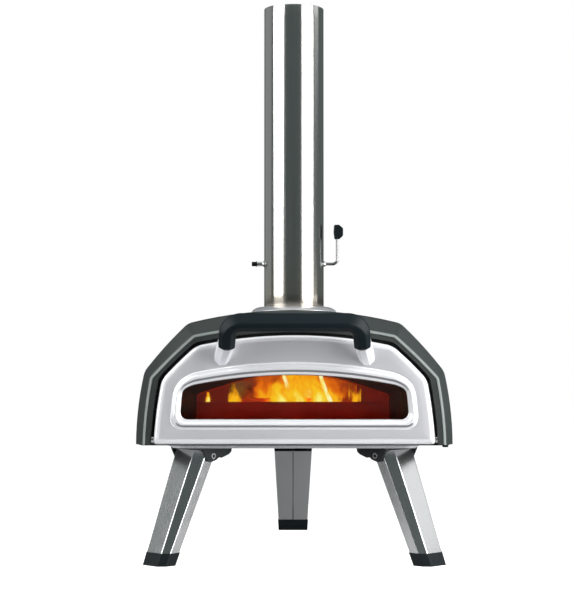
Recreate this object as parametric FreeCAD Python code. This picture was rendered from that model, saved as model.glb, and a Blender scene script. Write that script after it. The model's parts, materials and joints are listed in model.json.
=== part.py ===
import FreeCAD, Part
import math
import os

os.makedirs("parts", exist_ok=True)

Vector = FreeCAD.Vector
X_AXIS = Vector(1, 0, 0)
Y_AXIS = Vector(0, 1, 0)
Z_AXIS = Vector(0, 0, 1)

# A table-top wood fired pizza oven, in millimetres. The origin is on the ground, under the middle
# of the oven. +Z is up and the door faces -Y. Distances back from the shell's front edge are
# written as FRONT + distance.
HALF_DEPTH = 345.0
HANDLE_REACH = 62.0
FRONT = HANDLE_REACH - HALF_DEPTH
TOTAL_HEIGHT = 779.0

# Sheet thicknesses and gaps
SHELL_WALL = 2.0
LINER_WALL = 1.5
THIN_SHEET = 1.2
BLANKET = 14.0
MOVING_GAP = 0.3
SKIN_GAP = 0.2

# Height well below every part: a cutter carried down to it is open at the bottom
BELOW = 100.0

# The most of a side's length that the rounding at one of its ends may take
CORNER_SHARE = 0.42

# Base
PAN_BOTTOM = 156.5
PAN_HEIGHT = 4.0
PLATE_THICKNESS = 1.5
SHELL_BOTTOM = 162.0
PLATE_FRONT = FRONT + 14
PAN_FRONT = FRONT + 15
WAIST_Y = FRONT + 235
SHELL_REAR = FRONT + 470
PANEL_SCREWS = [(-170, 180), (170, 180), (-160, 225), (160, 225), (-120, 255), (120, 255)]
STUD_X = 206.8
STUD_Y = FRONT + 26
STUD_DROP = 3.0

# Chimney and flue
FLUE_Y = FRONT + 120
PIPE_RADIUS = 42.5
PIPE_WALL = 1.2
PIPE_BOTTOM = 352.3
FLANGE_TOP = 352.0
FLANGE_RADIUS = 59.8
COLLAR_TOP = 368.0
COLLAR_RADIUS = PIPE_RADIUS - PIPE_WALL - MOVING_GAP
SHELL_FLUE_HOLE = 43.0

# Damper
DAMPER_Z = 413.3
DAMPER_ROD = 2.1
DAMPER_DISC = 39.6
DISC_THICKNESS = 1.5
DISC_SCREWS = (-20, 20)
LEVER_X = 62.0
LEVER_BEND = 7.0
KNOB_BOTTOM = 448.8
KNOB_TOP = 469.3
KNOB_DEPTH = 12.0
KNOB_BEVEL = 1.1
KNOB_ROUNDING = 2.0
# The knob seen from the front, as (distance outwards from the lever, height above its bottom)
KNOB_PROFILE = [(-4.0, 0.0), (2.6, 0.0), (8.2, 5.2), (8.2, 15.4), (2.6, 20.5), (-4.6, 20.5), (-5.3, 10.0)]
ROD_FIT = 0.08
NUT_START = -60.2
NUT_END = -54.0
NUT_RADIUS = 3.6
WASHER_THICKNESS = 1.2
SPACER_RADIUS = 3.1
BUSHING_RADIUS = 6.2
BUSHING_LIP = 2.8
BUSHING_LIFT = 2.8

# Door
DOOR_FACE = FRONT - 8
DOOR_BACK = FRONT + 10
DOOR_SKIN = 2.0
HINGE_Y = FRONT + 6
HINGE_Z = 169.0
HINGE_PIN = 2.5
PIN_CLEARANCE = 0.06
GLASS_FRONT = FRONT - 1
GLASS_THICKNESS = 4.0
RETAINER_THICKNESS = 1.5
RETAINER_SCREWS = [(-100, 181), (0, 181), (100, 181), (-168, 215), (168, 215)]

# Handle
HANDLE_BACK = FRONT - 38
HANDLE_BEVEL = 1.8
STANDOFF_SEATS = [(-98.0, 279.8), (98.0, 279.8)]
STANDOFF_TIP_X = 90.0
STANDOFF_TIP_Z = 302.0
SEAT_RADIUS = 10.8
TIP_RADIUS = 12.3

# Cooking chamber
MOUTH_Y = FRONT + 21
MOUTH_THICKNESS = 2.5
LINER_FRONT = MOUTH_Y + MOUTH_THICKNESS
LINER_REAR = FRONT + 466
STONE_TOP = 176.0
STONE_THICKNESS = 10.0
BAFFLE_Y = FRONT + 400
BAFFLE_TOP = 208.0
BAFFLE_SHEET = 2.0
# How far below the chamber's corner the side walls end and the roof begins
CORNER_SPLIT = 12.0

# Fire box
BOX_HALF = 112.0
BOX_REAR = FRONT + 618
BOX_TOP = 275.0
BOX_WALL = 2.0
BOX_CORNER = 16.0
PORT_Z = 205.0
PORT_SCREWS = (-32, 32)
PORT_COVER = 2.0
TRAY_HALF = 98.0
TRAY_Y = (SHELL_REAR + 6, BOX_REAR - 8)
TRAY_Z = (PAN_BOTTOM + PAN_HEIGHT + BOX_WALL + 6, 212.0)
LID_TOP = 285.0
LID_Y = (SHELL_REAR + BOX_REAR) / 2
LID_POSTS = (-38, 38)
LID_GRIP_Z = 312.0
LID_GRIP_HALF = 7.0

# Legs
LEG_SPLAY = 24.0
LEG_FOLD_AXIS_Z = 145.3
LEG_INNER_FACE = -4.6
LEG_TOP = 3.0
LEG_REACH = 166.0
LEG_WALL = 1.5
FOOT_HEIGHT = 17.0
FOOT_SOLE = 2.5
FOOT_SKIRT = 0.8
PIVOT_RADIUS = 4.0
BRACKET_PLATE = 2.0
CHEEK_INNER = 30.9
CHEEK_OUTER = 33.1
CHEEK_PROFILE = [(-35.0, 9.2), (-34.0, 4.5), (-29.0, 1.0), (-16.0, -3.2), (-11.0, -2.2), (-6.0, -5.6),
                 (5.0, -8.6), (10.5, -6.6), (18.9, 9.2)]
BRACKET_SCREWS = [(-26, -22), (-26, 22), (10, -22), (10, 22)]
LEG_PIVOTS = {
    "front_left": (-134.5, FRONT + 52, 225.0),
    "front_right": (134.5, FRONT + 52, 315.0),
    "rear": (0.0, FRONT + 387, 90.0),
}


# ---------------------------------------------------------------- plain shapes

def block(x0, x1, y0, y1, z0, z1):
    return Part.makeBox(x1 - x0, y1 - y0, z1 - z0, Vector(x0, y0, z0))


def rod(radius, start, end):
    along = Vector(*end) - Vector(*start)
    return Part.makeCylinder(radius, along.Length, Vector(*start), along)


def tube(outer, inner, start, end):
    return rod(outer, start, end).cut(rod(inner, start, end))


def joined(solids):
    first = solids[0]
    return first.fuse(solids[1:]).removeSplitter() if len(solids) > 1 else first


def group(solids):
    return Part.makeCompound(solids)


def corner_points(before, corner, after, radius):
    """Start, middle and end of the arc that rounds one corner."""
    to_before = (before - corner).normalize()
    to_after = (after - corner).normalize()
    half = to_before.getAngle(to_after) / 2
    reach = radius / math.tan(half)
    inward = (to_before + to_after).normalize()
    depth = radius / math.sin(half) - radius
    return corner + to_before * reach, corner + inward * depth, corner + to_after * reach


def rounded_loop(points, radii):
    """Closed wire through the points, each corner rounded by its radius (0 keeps it sharp)."""
    count = len(points)
    corners = []
    for i, point in enumerate(points):
        radius = radii[i]
        if radius:
            corners.append(corner_points(points[i - 1], point, points[(i + 1) % count], radius))
        else:
            corners.append((point, None, point))
    edges = []
    for i, (start, middle, end) in enumerate(corners):
        if middle:
            edges.append(Part.Arc(start, middle, end).toShape())
        following = corners[(i + 1) % count][0]
        edges.append(Part.LineSegment(end, following).toShape())
    return Part.Wire(edges)


def plate(points, radii, along):
    """Flat outline, rounded at its corners and pushed along a vector."""
    return Part.Face(rounded_loop(points, radii)).extrude(along)


# ---------------------------------------------------------------- the arch outline

class Arch:
    """Symmetric arch seen from the front: side, slope and crown, with rounded corners.

    bottom, low and high are the right half's points (x, z); the crown is the top's height.
    """

    def __init__(self, bottom, low, high, crown, side_bulge, slope_bulge, corner):
        self.bottom = bottom
        self.low = low
        self.high = high
        self.crown = crown
        self.side_bulge = side_bulge
        self.slope_bulge = slope_bulge
        self.corner = corner

    def inset(self, distance):
        """The same arch with every side moved inwards, its bottom kept at the same height."""
        side = shifted(self.bottom, self.low, distance)
        slope = shifted(self.low, self.high, distance)
        top = ((0, self.high[1] - distance), (1, self.high[1] - distance))
        floor = ((0, self.bottom[1]), (1, self.bottom[1]))
        return Arch(crossing(side, floor), crossing(side, slope), crossing(slope, top),
                    self.crown - distance, self.side_bulge, self.slope_bulge,
                    max(self.corner - distance, 1.0))

    def towards(self, other, share):
        """An arch part of the way from this one to another."""
        def mix(a, b):
            return a + (b - a) * share

        def mix_point(a, b):
            return (mix(a[0], b[0]), mix(a[1], b[1]))

        return Arch(mix_point(self.bottom, other.bottom), mix_point(self.low, other.low),
                    mix_point(self.high, other.high), mix(self.crown, other.crown),
                    mix(self.side_bulge, other.side_bulge),
                    mix(self.slope_bulge, other.slope_bulge), mix(self.corner, other.corner))

    def wire(self, y, floor=None):
        """Closed wire at one depth; floor carries the sides straight down to that height."""
        right = [self.bottom, self.low, self.high]
        path = [(-x, z) for x, z in right] + [(x, z) for x, z in reversed(right)]
        top_bulge = self.crown - self.high[1]
        bulges = [self.side_bulge, self.slope_bulge, top_bulge, self.slope_bulge, self.side_bulge]
        sides = [Bow(path[i], path[i + 1], bulges[i]) for i in range(len(bulges))]
        trims = [min(self.corner, CORNER_SHARE * a.length, CORNER_SHARE * b.length)
                 for a, b in zip(sides, sides[1:])]
        starts = [0.0] + [trim / side.length for trim, side in zip(trims, sides[1:])]
        ends = [1.0 - trim / side.length for trim, side in zip(trims, sides)] + [1.0]
        edges = []
        for i, side in enumerate(sides):
            start, middle, end = starts[i], (starts[i] + ends[i]) / 2, ends[i]
            edges.append(arc_at(y, side.at(start), side.at(middle), side.at(end)))
            if i + 1 < len(sides):
                edges.append(round_between(y, side, end, sides[i + 1], starts[i + 1]))
        left_foot, right_foot = path[0], path[-1]
        if floor is not None:
            edges.append(line_at(y, right_foot, (right_foot[0], floor)))
            right_foot = (right_foot[0], floor)
            edges.insert(0, line_at(y, (left_foot[0], floor), left_foot))
            left_foot = (left_foot[0], floor)
        edges.append(line_at(y, right_foot, left_foot))
        return Part.Wire(edges)

    def slab(self, y0, y1, floor=None):
        return Part.Face(self.wire(y0, floor)).extrude(Vector(0, y1 - y0, 0))


class Bow:
    """A slightly bulged side from one point to the next, bulging to its left."""

    def __init__(self, start, end, bulge):
        self.start = start
        self.run = (end[0] - start[0], end[1] - start[1])
        self.length = math.hypot(*self.run)
        self.out = (-self.run[1] / self.length, self.run[0] / self.length)
        self.bulge = bulge

    def at(self, share):
        lift = 4 * self.bulge * share * (1 - share)
        return (self.start[0] + self.run[0] * share + self.out[0] * lift,
                self.start[1] + self.run[1] * share + self.out[1] * lift)

    def heading(self, share):
        lift = 4 * self.bulge * (1 - 2 * share)
        return math.atan2(self.run[1] + self.out[1] * lift, self.run[0] + self.out[0] * lift)


def arc_at(y, start, middle, end):
    points = [Vector(x, y, z) for x, z in (start, middle, end)]
    return Part.Arc(*points).toShape()


def line_at(y, start, end):
    return Part.LineSegment(Vector(start[0], y, start[1]), Vector(end[0], y, end[1])).toShape()


def round_between(y, side, side_end, following, following_start):
    """The arc that joins two bowed sides smoothly."""
    start = side.at(side_end)
    end = following.at(following_start)
    turn = side.heading(side_end) - following.heading(following_start)
    chord = (end[0] - start[0], end[1] - start[1])
    sagitta = math.tan(turn / 4) / 2
    middle = ((start[0] + end[0]) / 2 - chord[1] * sagitta,
              (start[1] + end[1]) / 2 + chord[0] * sagitta)
    return arc_at(y, start, middle, end)


def shifted(a, b, distance):
    """The line through a and b on the right half of an arch, moved towards the inside."""
    run = (b[0] - a[0], b[1] - a[1])
    length = math.hypot(*run)
    inward = (-run[1] / length * distance, run[0] / length * distance)
    return ((a[0] + inward[0], a[1] + inward[1]), (b[0] + inward[0], b[1] + inward[1]))


def crossing(first, second):
    """Where two lines meet."""
    (x1, z1), (x2, z2) = first
    (x3, z3), (x4, z4) = second
    ax, az = x2 - x1, z2 - z1
    bx, bz = x4 - x3, z4 - z3
    share = ((x3 - x1) * bz - (z3 - z1) * bx) / (ax * bz - az * bx)
    return (x1 + ax * share, z1 + az * share)


def arch_loft(sections, floor=None):
    """Solid through (depth, arch) pairs."""
    return Part.makeLoft([arch.wire(y, floor) for y, arch in sections], True, True)


RIDGE = Arch((206.4, SHELL_BOTTOM), (196.3, 253.5), (137.0, 311.5), 325.7, 1.9, 1.2, 3.5)
BODY = Arch((216.5, SHELL_BOTTOM), (205.0, 261.5), (145.5, 327.2), 345.4, 2.8, 1.9, 6.0)
TAIL = Arch((200.0, SHELL_BOTTOM), (191.0, 226.0), (132.0, 270.0), 286.0, 2.0, 1.6, 8.0)
BEZEL_INNER = Arch((195.0, SHELL_BOTTOM), (183.9, 253.2), (135.2, 300.6), 314.9, 1.6, 1.0, 6.0)
DOOR = Arch((190.6, 163.0), (179.5, 250.6), (133.0, 296.2), 310.6, 1.6, 1.0, 9.0)
BEAD = Arch((168.5, 183.4), (163.0, 240.5), (142.5, 258.8), 274.2, 0.6, 0.8, 9.0)
WINDOW = Arch((154.8, 196.6), (151.2, 236.0), (138.5, 242.6), 256.6, 0.4, 0.2, 7.0)
LINER_MOUTH = Arch((166.0, SHELL_BOTTOM), (160.0, 236.0), (128.0, 266.0), 278.0, 0.8, 0.6, 9.0)
LINER_TAIL = Arch((156.5, SHELL_BOTTOM), (156.2, 219.0), (84.0, 242.0), 253.5, 0.2, 0.4, 5.0)


def shell_sections(inset):
    """The outer shell's skin, or a skin inside it, as (depth, arch) pairs."""
    def skin(y, arch):
        return (y, arch.inset(inset) if inset else arch)

    return [
        skin(FRONT, RIDGE.inset(2.0)),
        skin(FRONT + 0.6, RIDGE.inset(0.7)),
        skin(FRONT + 2.0, RIDGE.towards(BODY, 0.06)),
        skin(FRONT + 17.5, RIDGE.towards(BODY, 0.90)),
        skin(FRONT + 20.5, RIDGE.towards(BODY, 0.985)),
        skin(FRONT + 24.0, BODY),
        skin(WAIST_Y, BODY),
        skin(SHELL_REAR, TAIL),
    ]


def liner_at(y):
    share = (y - LINER_FRONT) / (LINER_REAR - LINER_FRONT)
    return LINER_MOUTH.towards(LINER_TAIL, share)


# ---------------------------------------------------------------- shell and base

def outer_shell():
    outside = arch_loft(shell_sections(0))
    hollow = arch_loft(shell_sections(SHELL_WALL), BELOW)
    front_way = RIDGE.inset(2.0 + SHELL_WALL).slab(FRONT - 5, FRONT, BELOW)
    tail_way = TAIL.inset(SHELL_WALL).slab(SHELL_REAR, SHELL_REAR + 5, BELOW)
    flue = rod(SHELL_FLUE_HOLE, (0, FLUE_Y, 300), (0, FLUE_Y, 400))
    return outside.cut([hollow, front_way, tail_way, flue])


def front_bezel():
    """Forward-facing trim between the shell's edge and the door."""
    outer = RIDGE.inset(2.0 + SHELL_WALL + SKIN_GAP)
    face = FRONT + 0.8
    back = DOOR_BACK
    ring = outer.slab(face, back)
    opening = arch_loft([
        (face - 1, BEZEL_INNER.inset(-1.2)),
        (face, BEZEL_INNER.inset(-0.6)),
        (face + 1.2, BEZEL_INNER),
        (back + 1, BEZEL_INNER),
    ], BELOW)
    pin_way = rod(HINGE_PIN + PIN_CLEARANCE, (-230, HINGE_Y, HINGE_Z), (230, HINGE_Y, HINGE_Z))
    return ring.cut([opening, pin_way])


def mouth_frame():
    """Plate that joins the chamber's mouth to the shell."""
    back = MOUTH_Y + MOUTH_THICKNESS
    outline = BODY.inset(SHELL_WALL + 1.6)
    return outline.slab(MOUTH_Y, back).cut(LINER_MOUTH.slab(MOUTH_Y - 1, back + 1, BELOW))


def door_seal():
    """Rope seal round the sides and top of the door's back."""
    front = DOOR_BACK + 0.4
    ring = DOOR.inset(-5.5).slab(front, MOUTH_Y)
    ring = ring.cut(DOOR.inset(5.0).slab(front - 1, MOUTH_Y + 1, BELOW))
    return ring.cut(block(-230, 230, front - 1, MOUTH_Y + 1, BELOW, 186))


def rear_panel():
    outline = TAIL.inset(SHELL_WALL + SKIN_GAP)
    panel = outline.slab(SHELL_REAR - 2, SHELL_REAR)
    fire_way = block(-104, 104, SHELL_REAR - 5, SHELL_REAR + 5, 171, 266)
    holes = [rod(2.2, (x, SHELL_REAR - 5, z), (x, SHELL_REAR + 5, z)) for x, z in PANEL_SCREWS]
    return panel.cut([fire_way] + holes)


def rear_panel_screws():
    return group([button_screw((x, SHELL_REAR, z), Y_AXIS, 2.0, 5.0, 5.0) for x, z in PANEL_SCREWS])


def button_screw(seat, outward, shank, head, length):
    """Screw whose rounded head sits on a face, its shank going in."""
    seat = Vector(*seat)
    shaft = Part.makeCylinder(shank, length, seat, outward * -1)
    cap = Part.makeCylinder(head, head * 0.5, seat, outward)
    cap = cap.makeFillet(head * 0.3, [cap.Edges[0]])
    return shaft.fuse(cap).removeSplitter()


def base_plate():
    """Dark floor plate that closes the shell from below."""
    edge = 213.0
    tail = 197.0
    y_back = SHELL_REAR - 3
    low = SHELL_BOTTOM - PLATE_THICKNESS
    corners = [(-edge + 6, PLATE_FRONT), (edge - 6, PLATE_FRONT), (edge, FRONT + 30),
               (edge, WAIST_Y), (tail, y_back), (-tail, y_back), (-edge, WAIST_Y),
               (-edge, FRONT + 30)]
    points = [Vector(x, y, low) for x, y in corners]
    return plate(points, [4.0] * len(points), Vector(0, 0, PLATE_THICKNESS))


def pan_block(inset, low, high):
    """The pan's tapered outline between two heights."""
    top_half = 173.4 - inset
    low_half = 166.5 - inset
    y0 = PAN_FRONT + inset
    y1 = FRONT + 455 - inset
    wires = []
    for z, half in ((low, low_half), (high, top_half)):
        corners = [Vector(-half, y0, z), Vector(half, y0, z), Vector(half, y1, z), Vector(-half, y1, z)]
        wires.append(rounded_loop(corners, [16.0] * 4))
    return Part.makeLoft(wires, True, True)


def base_pan():
    """Stainless tray under the floor plate; it carries the leg brackets."""
    top = PAN_BOTTOM + PAN_HEIGHT
    tray = pan_block(0, PAN_BOTTOM, top)
    tray = tray.cut(pan_block(THIN_SHEET, PAN_BOTTOM + THIN_SHEET, top + 0.01))
    holes = [rod(2.1, (x, y, PAN_BOTTOM - 5), (x, y, top)) for x, y in bracket_screw_places()]
    return tray.cut(holes)


def base_stud():
    """Small rubber stop under the shell's right edge."""
    high = SHELL_BOTTOM - PLATE_THICKNESS
    stud = rod(4.2, (STUD_X, STUD_Y, high - STUD_DROP), (STUD_X, STUD_Y, high))
    return stud.makeFillet(1.2, [stud.Edges[2]])


# ---------------------------------------------------------------- cooking chamber

def liner():
    outer = [(LINER_FRONT, LINER_MOUTH.inset(-LINER_WALL)), (LINER_REAR, LINER_TAIL.inset(-LINER_WALL))]
    inner = [(LINER_FRONT - 2, liner_at(LINER_FRONT - 2)), (LINER_REAR + 2, liner_at(LINER_REAR + 2))]
    return arch_loft(outer).cut(arch_loft(inner, BELOW))


def wall_limit(side):
    """Region beside the chamber that holds one straight side wall."""
    points = []
    for y in (LINER_FRONT - 5, LINER_REAR + 5):
        low = liner_at(y).low
        points.append(Vector(0, y, low[1] - CORNER_SPLIT))
    front, rear = points
    outline = [Vector(0, front.y, BELOW), Vector(0, rear.y, BELOW), rear, front]
    return plate(outline, [0] * 4, Vector(side * 260, 0, 0))


def chamber_wall(side):
    return liner().common(wall_limit(side))


def chamber_roof():
    flue = rod(COLLAR_RADIUS + 0.1, (0, FLUE_Y, 200), (0, FLUE_Y, 400))
    return liner().cut([wall_limit(-1), wall_limit(1), flue])


def insulation():
    """Wool blanket that lies over the liner, clear of both ends."""
    y0 = LINER_FRONT + 1
    y1 = LINER_REAR - 2
    grow = LINER_WALL + 0.8
    outer = arch_loft([(y, liner_at(y).inset(-grow - BLANKET)) for y in (y0, y1)])
    inner = arch_loft([(y, liner_at(y).inset(-grow)) for y in (y0 - 2, y1 + 2)], BELOW)
    flue = rod(SHELL_FLUE_HOLE, (0, FLUE_Y, 200), (0, FLUE_Y, 400))
    return outer.cut([inner, flue])


def stone_rails():
    low = SHELL_BOTTOM
    high = STONE_TOP - STONE_THICKNESS
    return group([block(x - 8, x + 8, FRONT + 40, FRONT + 380, low, high) for x in (-120, 120)])


def baking_stone():
    half = 152.0
    y0 = FRONT + 30
    y1 = FRONT + 392
    low = STONE_TOP - STONE_THICKNESS
    corners = [Vector(-half, y0, low), Vector(half, y0, low), Vector(half, y1, low), Vector(-half, y1, low)]
    stone = plate(corners, [6.0] * 4, Vector(0, 0, STONE_THICKNESS))
    top_edges = [e for e in stone.Edges if e.BoundBox.ZMin > STONE_TOP - 0.01]
    return stone.makeFillet(1.5, top_edges)


def rear_baffle():
    """Upright guard between the stone and the fire, with a lip along its top."""
    half = 151.5
    under_lip = BAFFLE_TOP - BAFFLE_SHEET
    sheet = block(-half, half, BAFFLE_Y, BAFFLE_Y + BAFFLE_SHEET, SHELL_BOTTOM, under_lip)
    lip = block(-half, half, BAFFLE_Y, BAFFLE_Y + 10, under_lip, BAFFLE_TOP)
    return sheet.fuse(lip).removeSplitter()


# ---------------------------------------------------------------- fire box

def box_outline(grow, front, low, high):
    """The fire box's outline, square in front and rounded behind."""
    half = BOX_HALF + grow
    rear = BOX_REAR + grow
    corners = [(-half, front), (half, front), (half, rear), (-half, rear)]
    points = [Vector(x, y, low) for x, y in corners]
    return plate(points, [0, 0, BOX_CORNER + grow, BOX_CORNER + grow], Vector(0, 0, high - low))


def firebox():
    """Steel box behind the rear panel, open at the front and the top."""
    low = PAN_BOTTOM + PAN_HEIGHT
    body = box_outline(0, SHELL_REAR, low, BOX_TOP)
    inside = box_outline(-BOX_WALL, SHELL_REAR - 1, low + BOX_WALL, BOX_TOP + 1)
    port = rod(16.0, (0, BOX_REAR - 5, PORT_Z), (0, BOX_REAR + 5, PORT_Z))
    holes = [rod(2.6, (x, BOX_REAR - 5, PORT_Z), (x, BOX_REAR + 5, PORT_Z)) for x in PORT_SCREWS]
    return body.cut([inside, port] + holes)


def burner_port_cover():
    """Plate over the round port in the back of the fire box."""
    half_width, half_height = 44, 22
    corners = [(-half_width, -half_height), (half_width, -half_height),
               (half_width, half_height), (-half_width, half_height)]
    points = [Vector(x, BOX_REAR, PORT_Z + z) for x, z in corners]
    cover = plate(points, [10.0] * 4, Vector(0, PORT_COVER, 0))
    holes = [rod(2.6, (x, BOX_REAR - 1, PORT_Z), (x, BOX_REAR + 5, PORT_Z)) for x in PORT_SCREWS]
    return cover.cut(holes)


def port_cover_screws():
    """Knurled thumb screws that hold the port cover."""
    seat = BOX_REAR + PORT_COVER
    screws = []
    for x in PORT_SCREWS:
        head = Part.makeCylinder(8.0, HALF_DEPTH - seat, Vector(x, seat, PORT_Z), Y_AXIS)
        head = head.makeChamfer(1.2, [head.Edges[0]])
        screws.append(head.fuse(rod(2.5, (x, seat - 10, PORT_Z), (x, seat, PORT_Z))).removeSplitter())
    return group(screws)


def fuel_tray():
    """Fuel basket with slotted sides, on four short feet, open at the top."""
    y0, y1 = TRAY_Y
    z0, z1 = TRAY_Z
    wall = LINER_WALL
    body = block(-TRAY_HALF, TRAY_HALF, y0, y1, z0, z1)
    body = body.cut(block(-TRAY_HALF + wall, TRAY_HALF - wall, y0 + wall, y1 - wall, z0 - 1, z1 + 1))
    slots = []
    for column in range(6):
        y = y0 + 16 + column * (y1 - y0 - 32) / 5
        slots.append(block(-TRAY_HALF - 1, TRAY_HALF + 1, y - 3, y + 3, z0 + 12, z0 + 34))
    for column in range(9):
        x = -80 + column * 20
        slots.append(block(x - 3, x + 3, y0 - 1, y1 + 1, z0 + 12, z0 + 34))
    feet = []
    for x in (-TRAY_HALF, TRAY_HALF - 8):
        for y in (y0, y1 - 8):
            feet.append(block(x, x + 8, y, y + 8, PAN_BOTTOM + PAN_HEIGHT + BOX_WALL, z0))
    return joined([body.cut(slots)] + feet)


def fuel_grate():
    """Slotted plate that the fuel lies on."""
    y0, y1 = TRAY_Y
    edge = LINER_WALL + SKIN_GAP
    low = TRAY_Z[0]
    sheet = block(-TRAY_HALF + edge, TRAY_HALF - edge, y0 + edge, y1 - edge, low, low + 3)
    slots = []
    for column in range(13):
        x = -84 + column * 14
        slots.append(block(x - 3, x + 3, y0 + 14, y1 - 14, low - 1, low + 4))
    return sheet.cut(slots)


def fuel_lid():
    """Hollow cap that stands on the fire box's rim, skirted on three sides."""
    low = BOX_TOP + MOVING_GAP
    cap = box_outline(3.0, SHELL_REAR + 1, low - 9, LID_TOP)
    rim = [e for e in cap.Edges if e.BoundBox.ZMin > LID_TOP - 0.01]
    cap = cap.makeFillet(4.0, rim)
    around_box = box_outline(0.5, SHELL_REAR, low - 10, low)
    inside = box_outline(-BOX_WALL - 2, SHELL_REAR + 5, low - 1, LID_TOP - BOX_WALL)
    holes = [rod(2.6, (x, LID_Y, BOX_TOP), (x, LID_Y, LID_TOP + 5)) for x in LID_POSTS]
    return cap.cut([around_box, inside] + holes)


def lid_handle_posts():
    posts = []
    for x in LID_POSTS:
        post = rod(5.0, (x, LID_Y, LID_TOP), (x, LID_Y, LID_GRIP_Z - LID_GRIP_HALF))
        posts.append(post.fuse(rod(2.5, (x, LID_Y, BOX_TOP + 1), (x, LID_Y, LID_TOP))).removeSplitter())
    return group(posts)


def lid_handle():
    low = LID_GRIP_Z - LID_GRIP_HALF
    corners = [(-56, -9), (56, -9), (56, 9), (-56, 9)]
    points = [Vector(x, LID_Y + y, low) for x, y in corners]
    grip = plate(points, [8.0] * 4, Vector(0, 0, 2 * LID_GRIP_HALF))
    rims = [e for e in grip.Edges if e.BoundBox.ZLength < 0.01]
    return grip.makeFillet(3.0, rims)


# ---------------------------------------------------------------- chimney

def flue_collar():
    """Tube from the chamber's roof up into the pipe."""
    low = liner_at(FLUE_Y).crown - 4
    return tube(COLLAR_RADIUS, COLLAR_RADIUS - 1.4, (0, FLUE_Y, low), (0, FLUE_Y, COLLAR_TOP))


def chimney_flange():
    """Domed ring on the roof, round the collar."""
    inner = COLLAR_RADIUS + SKIN_GAP
    profile = [
        (inner, 336.0), (inner, FLANGE_TOP), (PIPE_RADIUS + 1.2, FLANGE_TOP),
    ]
    points = [Vector(r, 0, z) for r, z in profile]
    dome_end = Vector(FLANGE_RADIUS, 0, 346.2)
    dome = Part.Arc(points[2], Vector(53.6, 0, 350.3), dome_end).toShape()
    foot = Vector(FLANGE_RADIUS, 0, 336.0)
    edges = [Part.LineSegment(points[0], points[1]).toShape(),
             Part.LineSegment(points[1], points[2]).toShape(),
             dome,
             Part.LineSegment(dome_end, foot).toShape(),
             Part.LineSegment(foot, points[0]).toShape()]
    ring = Part.Face(Part.Wire(edges)).revolve(Vector(0, 0, 0), Z_AXIS, 360)
    ring.translate(Vector(0, FLUE_Y, 0))
    return ring.cut(arch_loft(shell_sections(0), BELOW))


def chimney_pipe():
    inner = PIPE_RADIUS - PIPE_WALL
    pipe = tube(PIPE_RADIUS, inner, (0, FLUE_Y, PIPE_BOTTOM), (0, FLUE_Y, TOTAL_HEIGHT))
    rod_hole = rod(DAMPER_ROD + ROD_FIT, (-60, FLUE_Y, DAMPER_Z), (60, FLUE_Y, DAMPER_Z))
    return pipe.cut(rod_hole)


def pipe_bushings():
    """Flared collars on the pipe, where the damper rod goes through."""
    bore = DAMPER_ROD + ROD_FIT
    root = PIPE_RADIUS - PIPE_WALL
    lip = PIPE_RADIUS + BUSHING_LIFT
    inner_root, outer_root = Vector(root, 0, bore), Vector(root, 0, BUSHING_RADIUS)
    outer_lip, inner_lip = Vector(lip, 0, BUSHING_LIP), Vector(lip, 0, bore)
    waist = Vector(PIPE_RADIUS + BUSHING_LIFT / 4, 0, (BUSHING_RADIUS + 2 * BUSHING_LIP) / 3)
    edges = [Part.LineSegment(inner_root, outer_root).toShape(),
             Part.Arc(outer_root, waist, outer_lip).toShape(),
             Part.LineSegment(outer_lip, inner_lip).toShape(),
             Part.LineSegment(inner_lip, inner_root).toShape()]
    collar = Part.Face(Part.Wire(edges)).revolve(Vector(0, 0, 0), X_AXIS, 360)
    collar.translate(Vector(0, FLUE_Y, DAMPER_Z))
    pipe = rod(PIPE_RADIUS, (0, FLUE_Y, PIPE_BOTTOM), (0, FLUE_Y, TOTAL_HEIGHT))
    right = collar.cut(pipe)
    return group([right, right.mirror(Vector(0, 0, 0), X_AXIS)])


def damper_plate():
    """Disc that turns in the pipe; upright is open."""
    face = FLUE_Y + DAMPER_ROD
    disc = rod(DAMPER_DISC, (0, face, DAMPER_Z), (0, face + DISC_THICKNESS, DAMPER_Z))
    holes = [rod(1.6, (x, face - 1, DAMPER_Z), (x, face + 3, DAMPER_Z)) for x in DISC_SCREWS]
    return disc.cut(holes)


def damper_screws():
    """Screws through the rod that hold the disc."""
    seat = FLUE_Y + DAMPER_ROD + DISC_THICKNESS
    return group([button_screw((x, seat, DAMPER_Z), Y_AXIS, 1.5, 2.6, 4.6) for x in DISC_SCREWS])


def damper_rod():
    """Rod across the pipe, bent upwards into the lever."""
    start = Vector(NUT_START + 1, FLUE_Y, DAMPER_Z)
    corner = Vector(LEVER_X, FLUE_Y, DAMPER_Z)
    end = Vector(LEVER_X, FLUE_Y, KNOB_BOTTOM + 8)
    bend_start, bend_middle, bend_end = corner_points(start, corner, end, LEVER_BEND)
    path = Part.Wire([Part.LineSegment(start, bend_start).toShape(),
                      Part.Arc(bend_start, bend_middle, bend_end).toShape(),
                      Part.LineSegment(bend_end, end).toShape()])
    section = Part.Wire([Part.makeCircle(DAMPER_ROD, start, X_AXIS)])
    bar = path.makePipeShell([section], True, False)
    holes = [rod(1.5, (x, FLUE_Y - 1.4, DAMPER_Z), (x, FLUE_Y + 4, DAMPER_Z)) for x in DISC_SCREWS]
    return bar.cut(holes)


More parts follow.
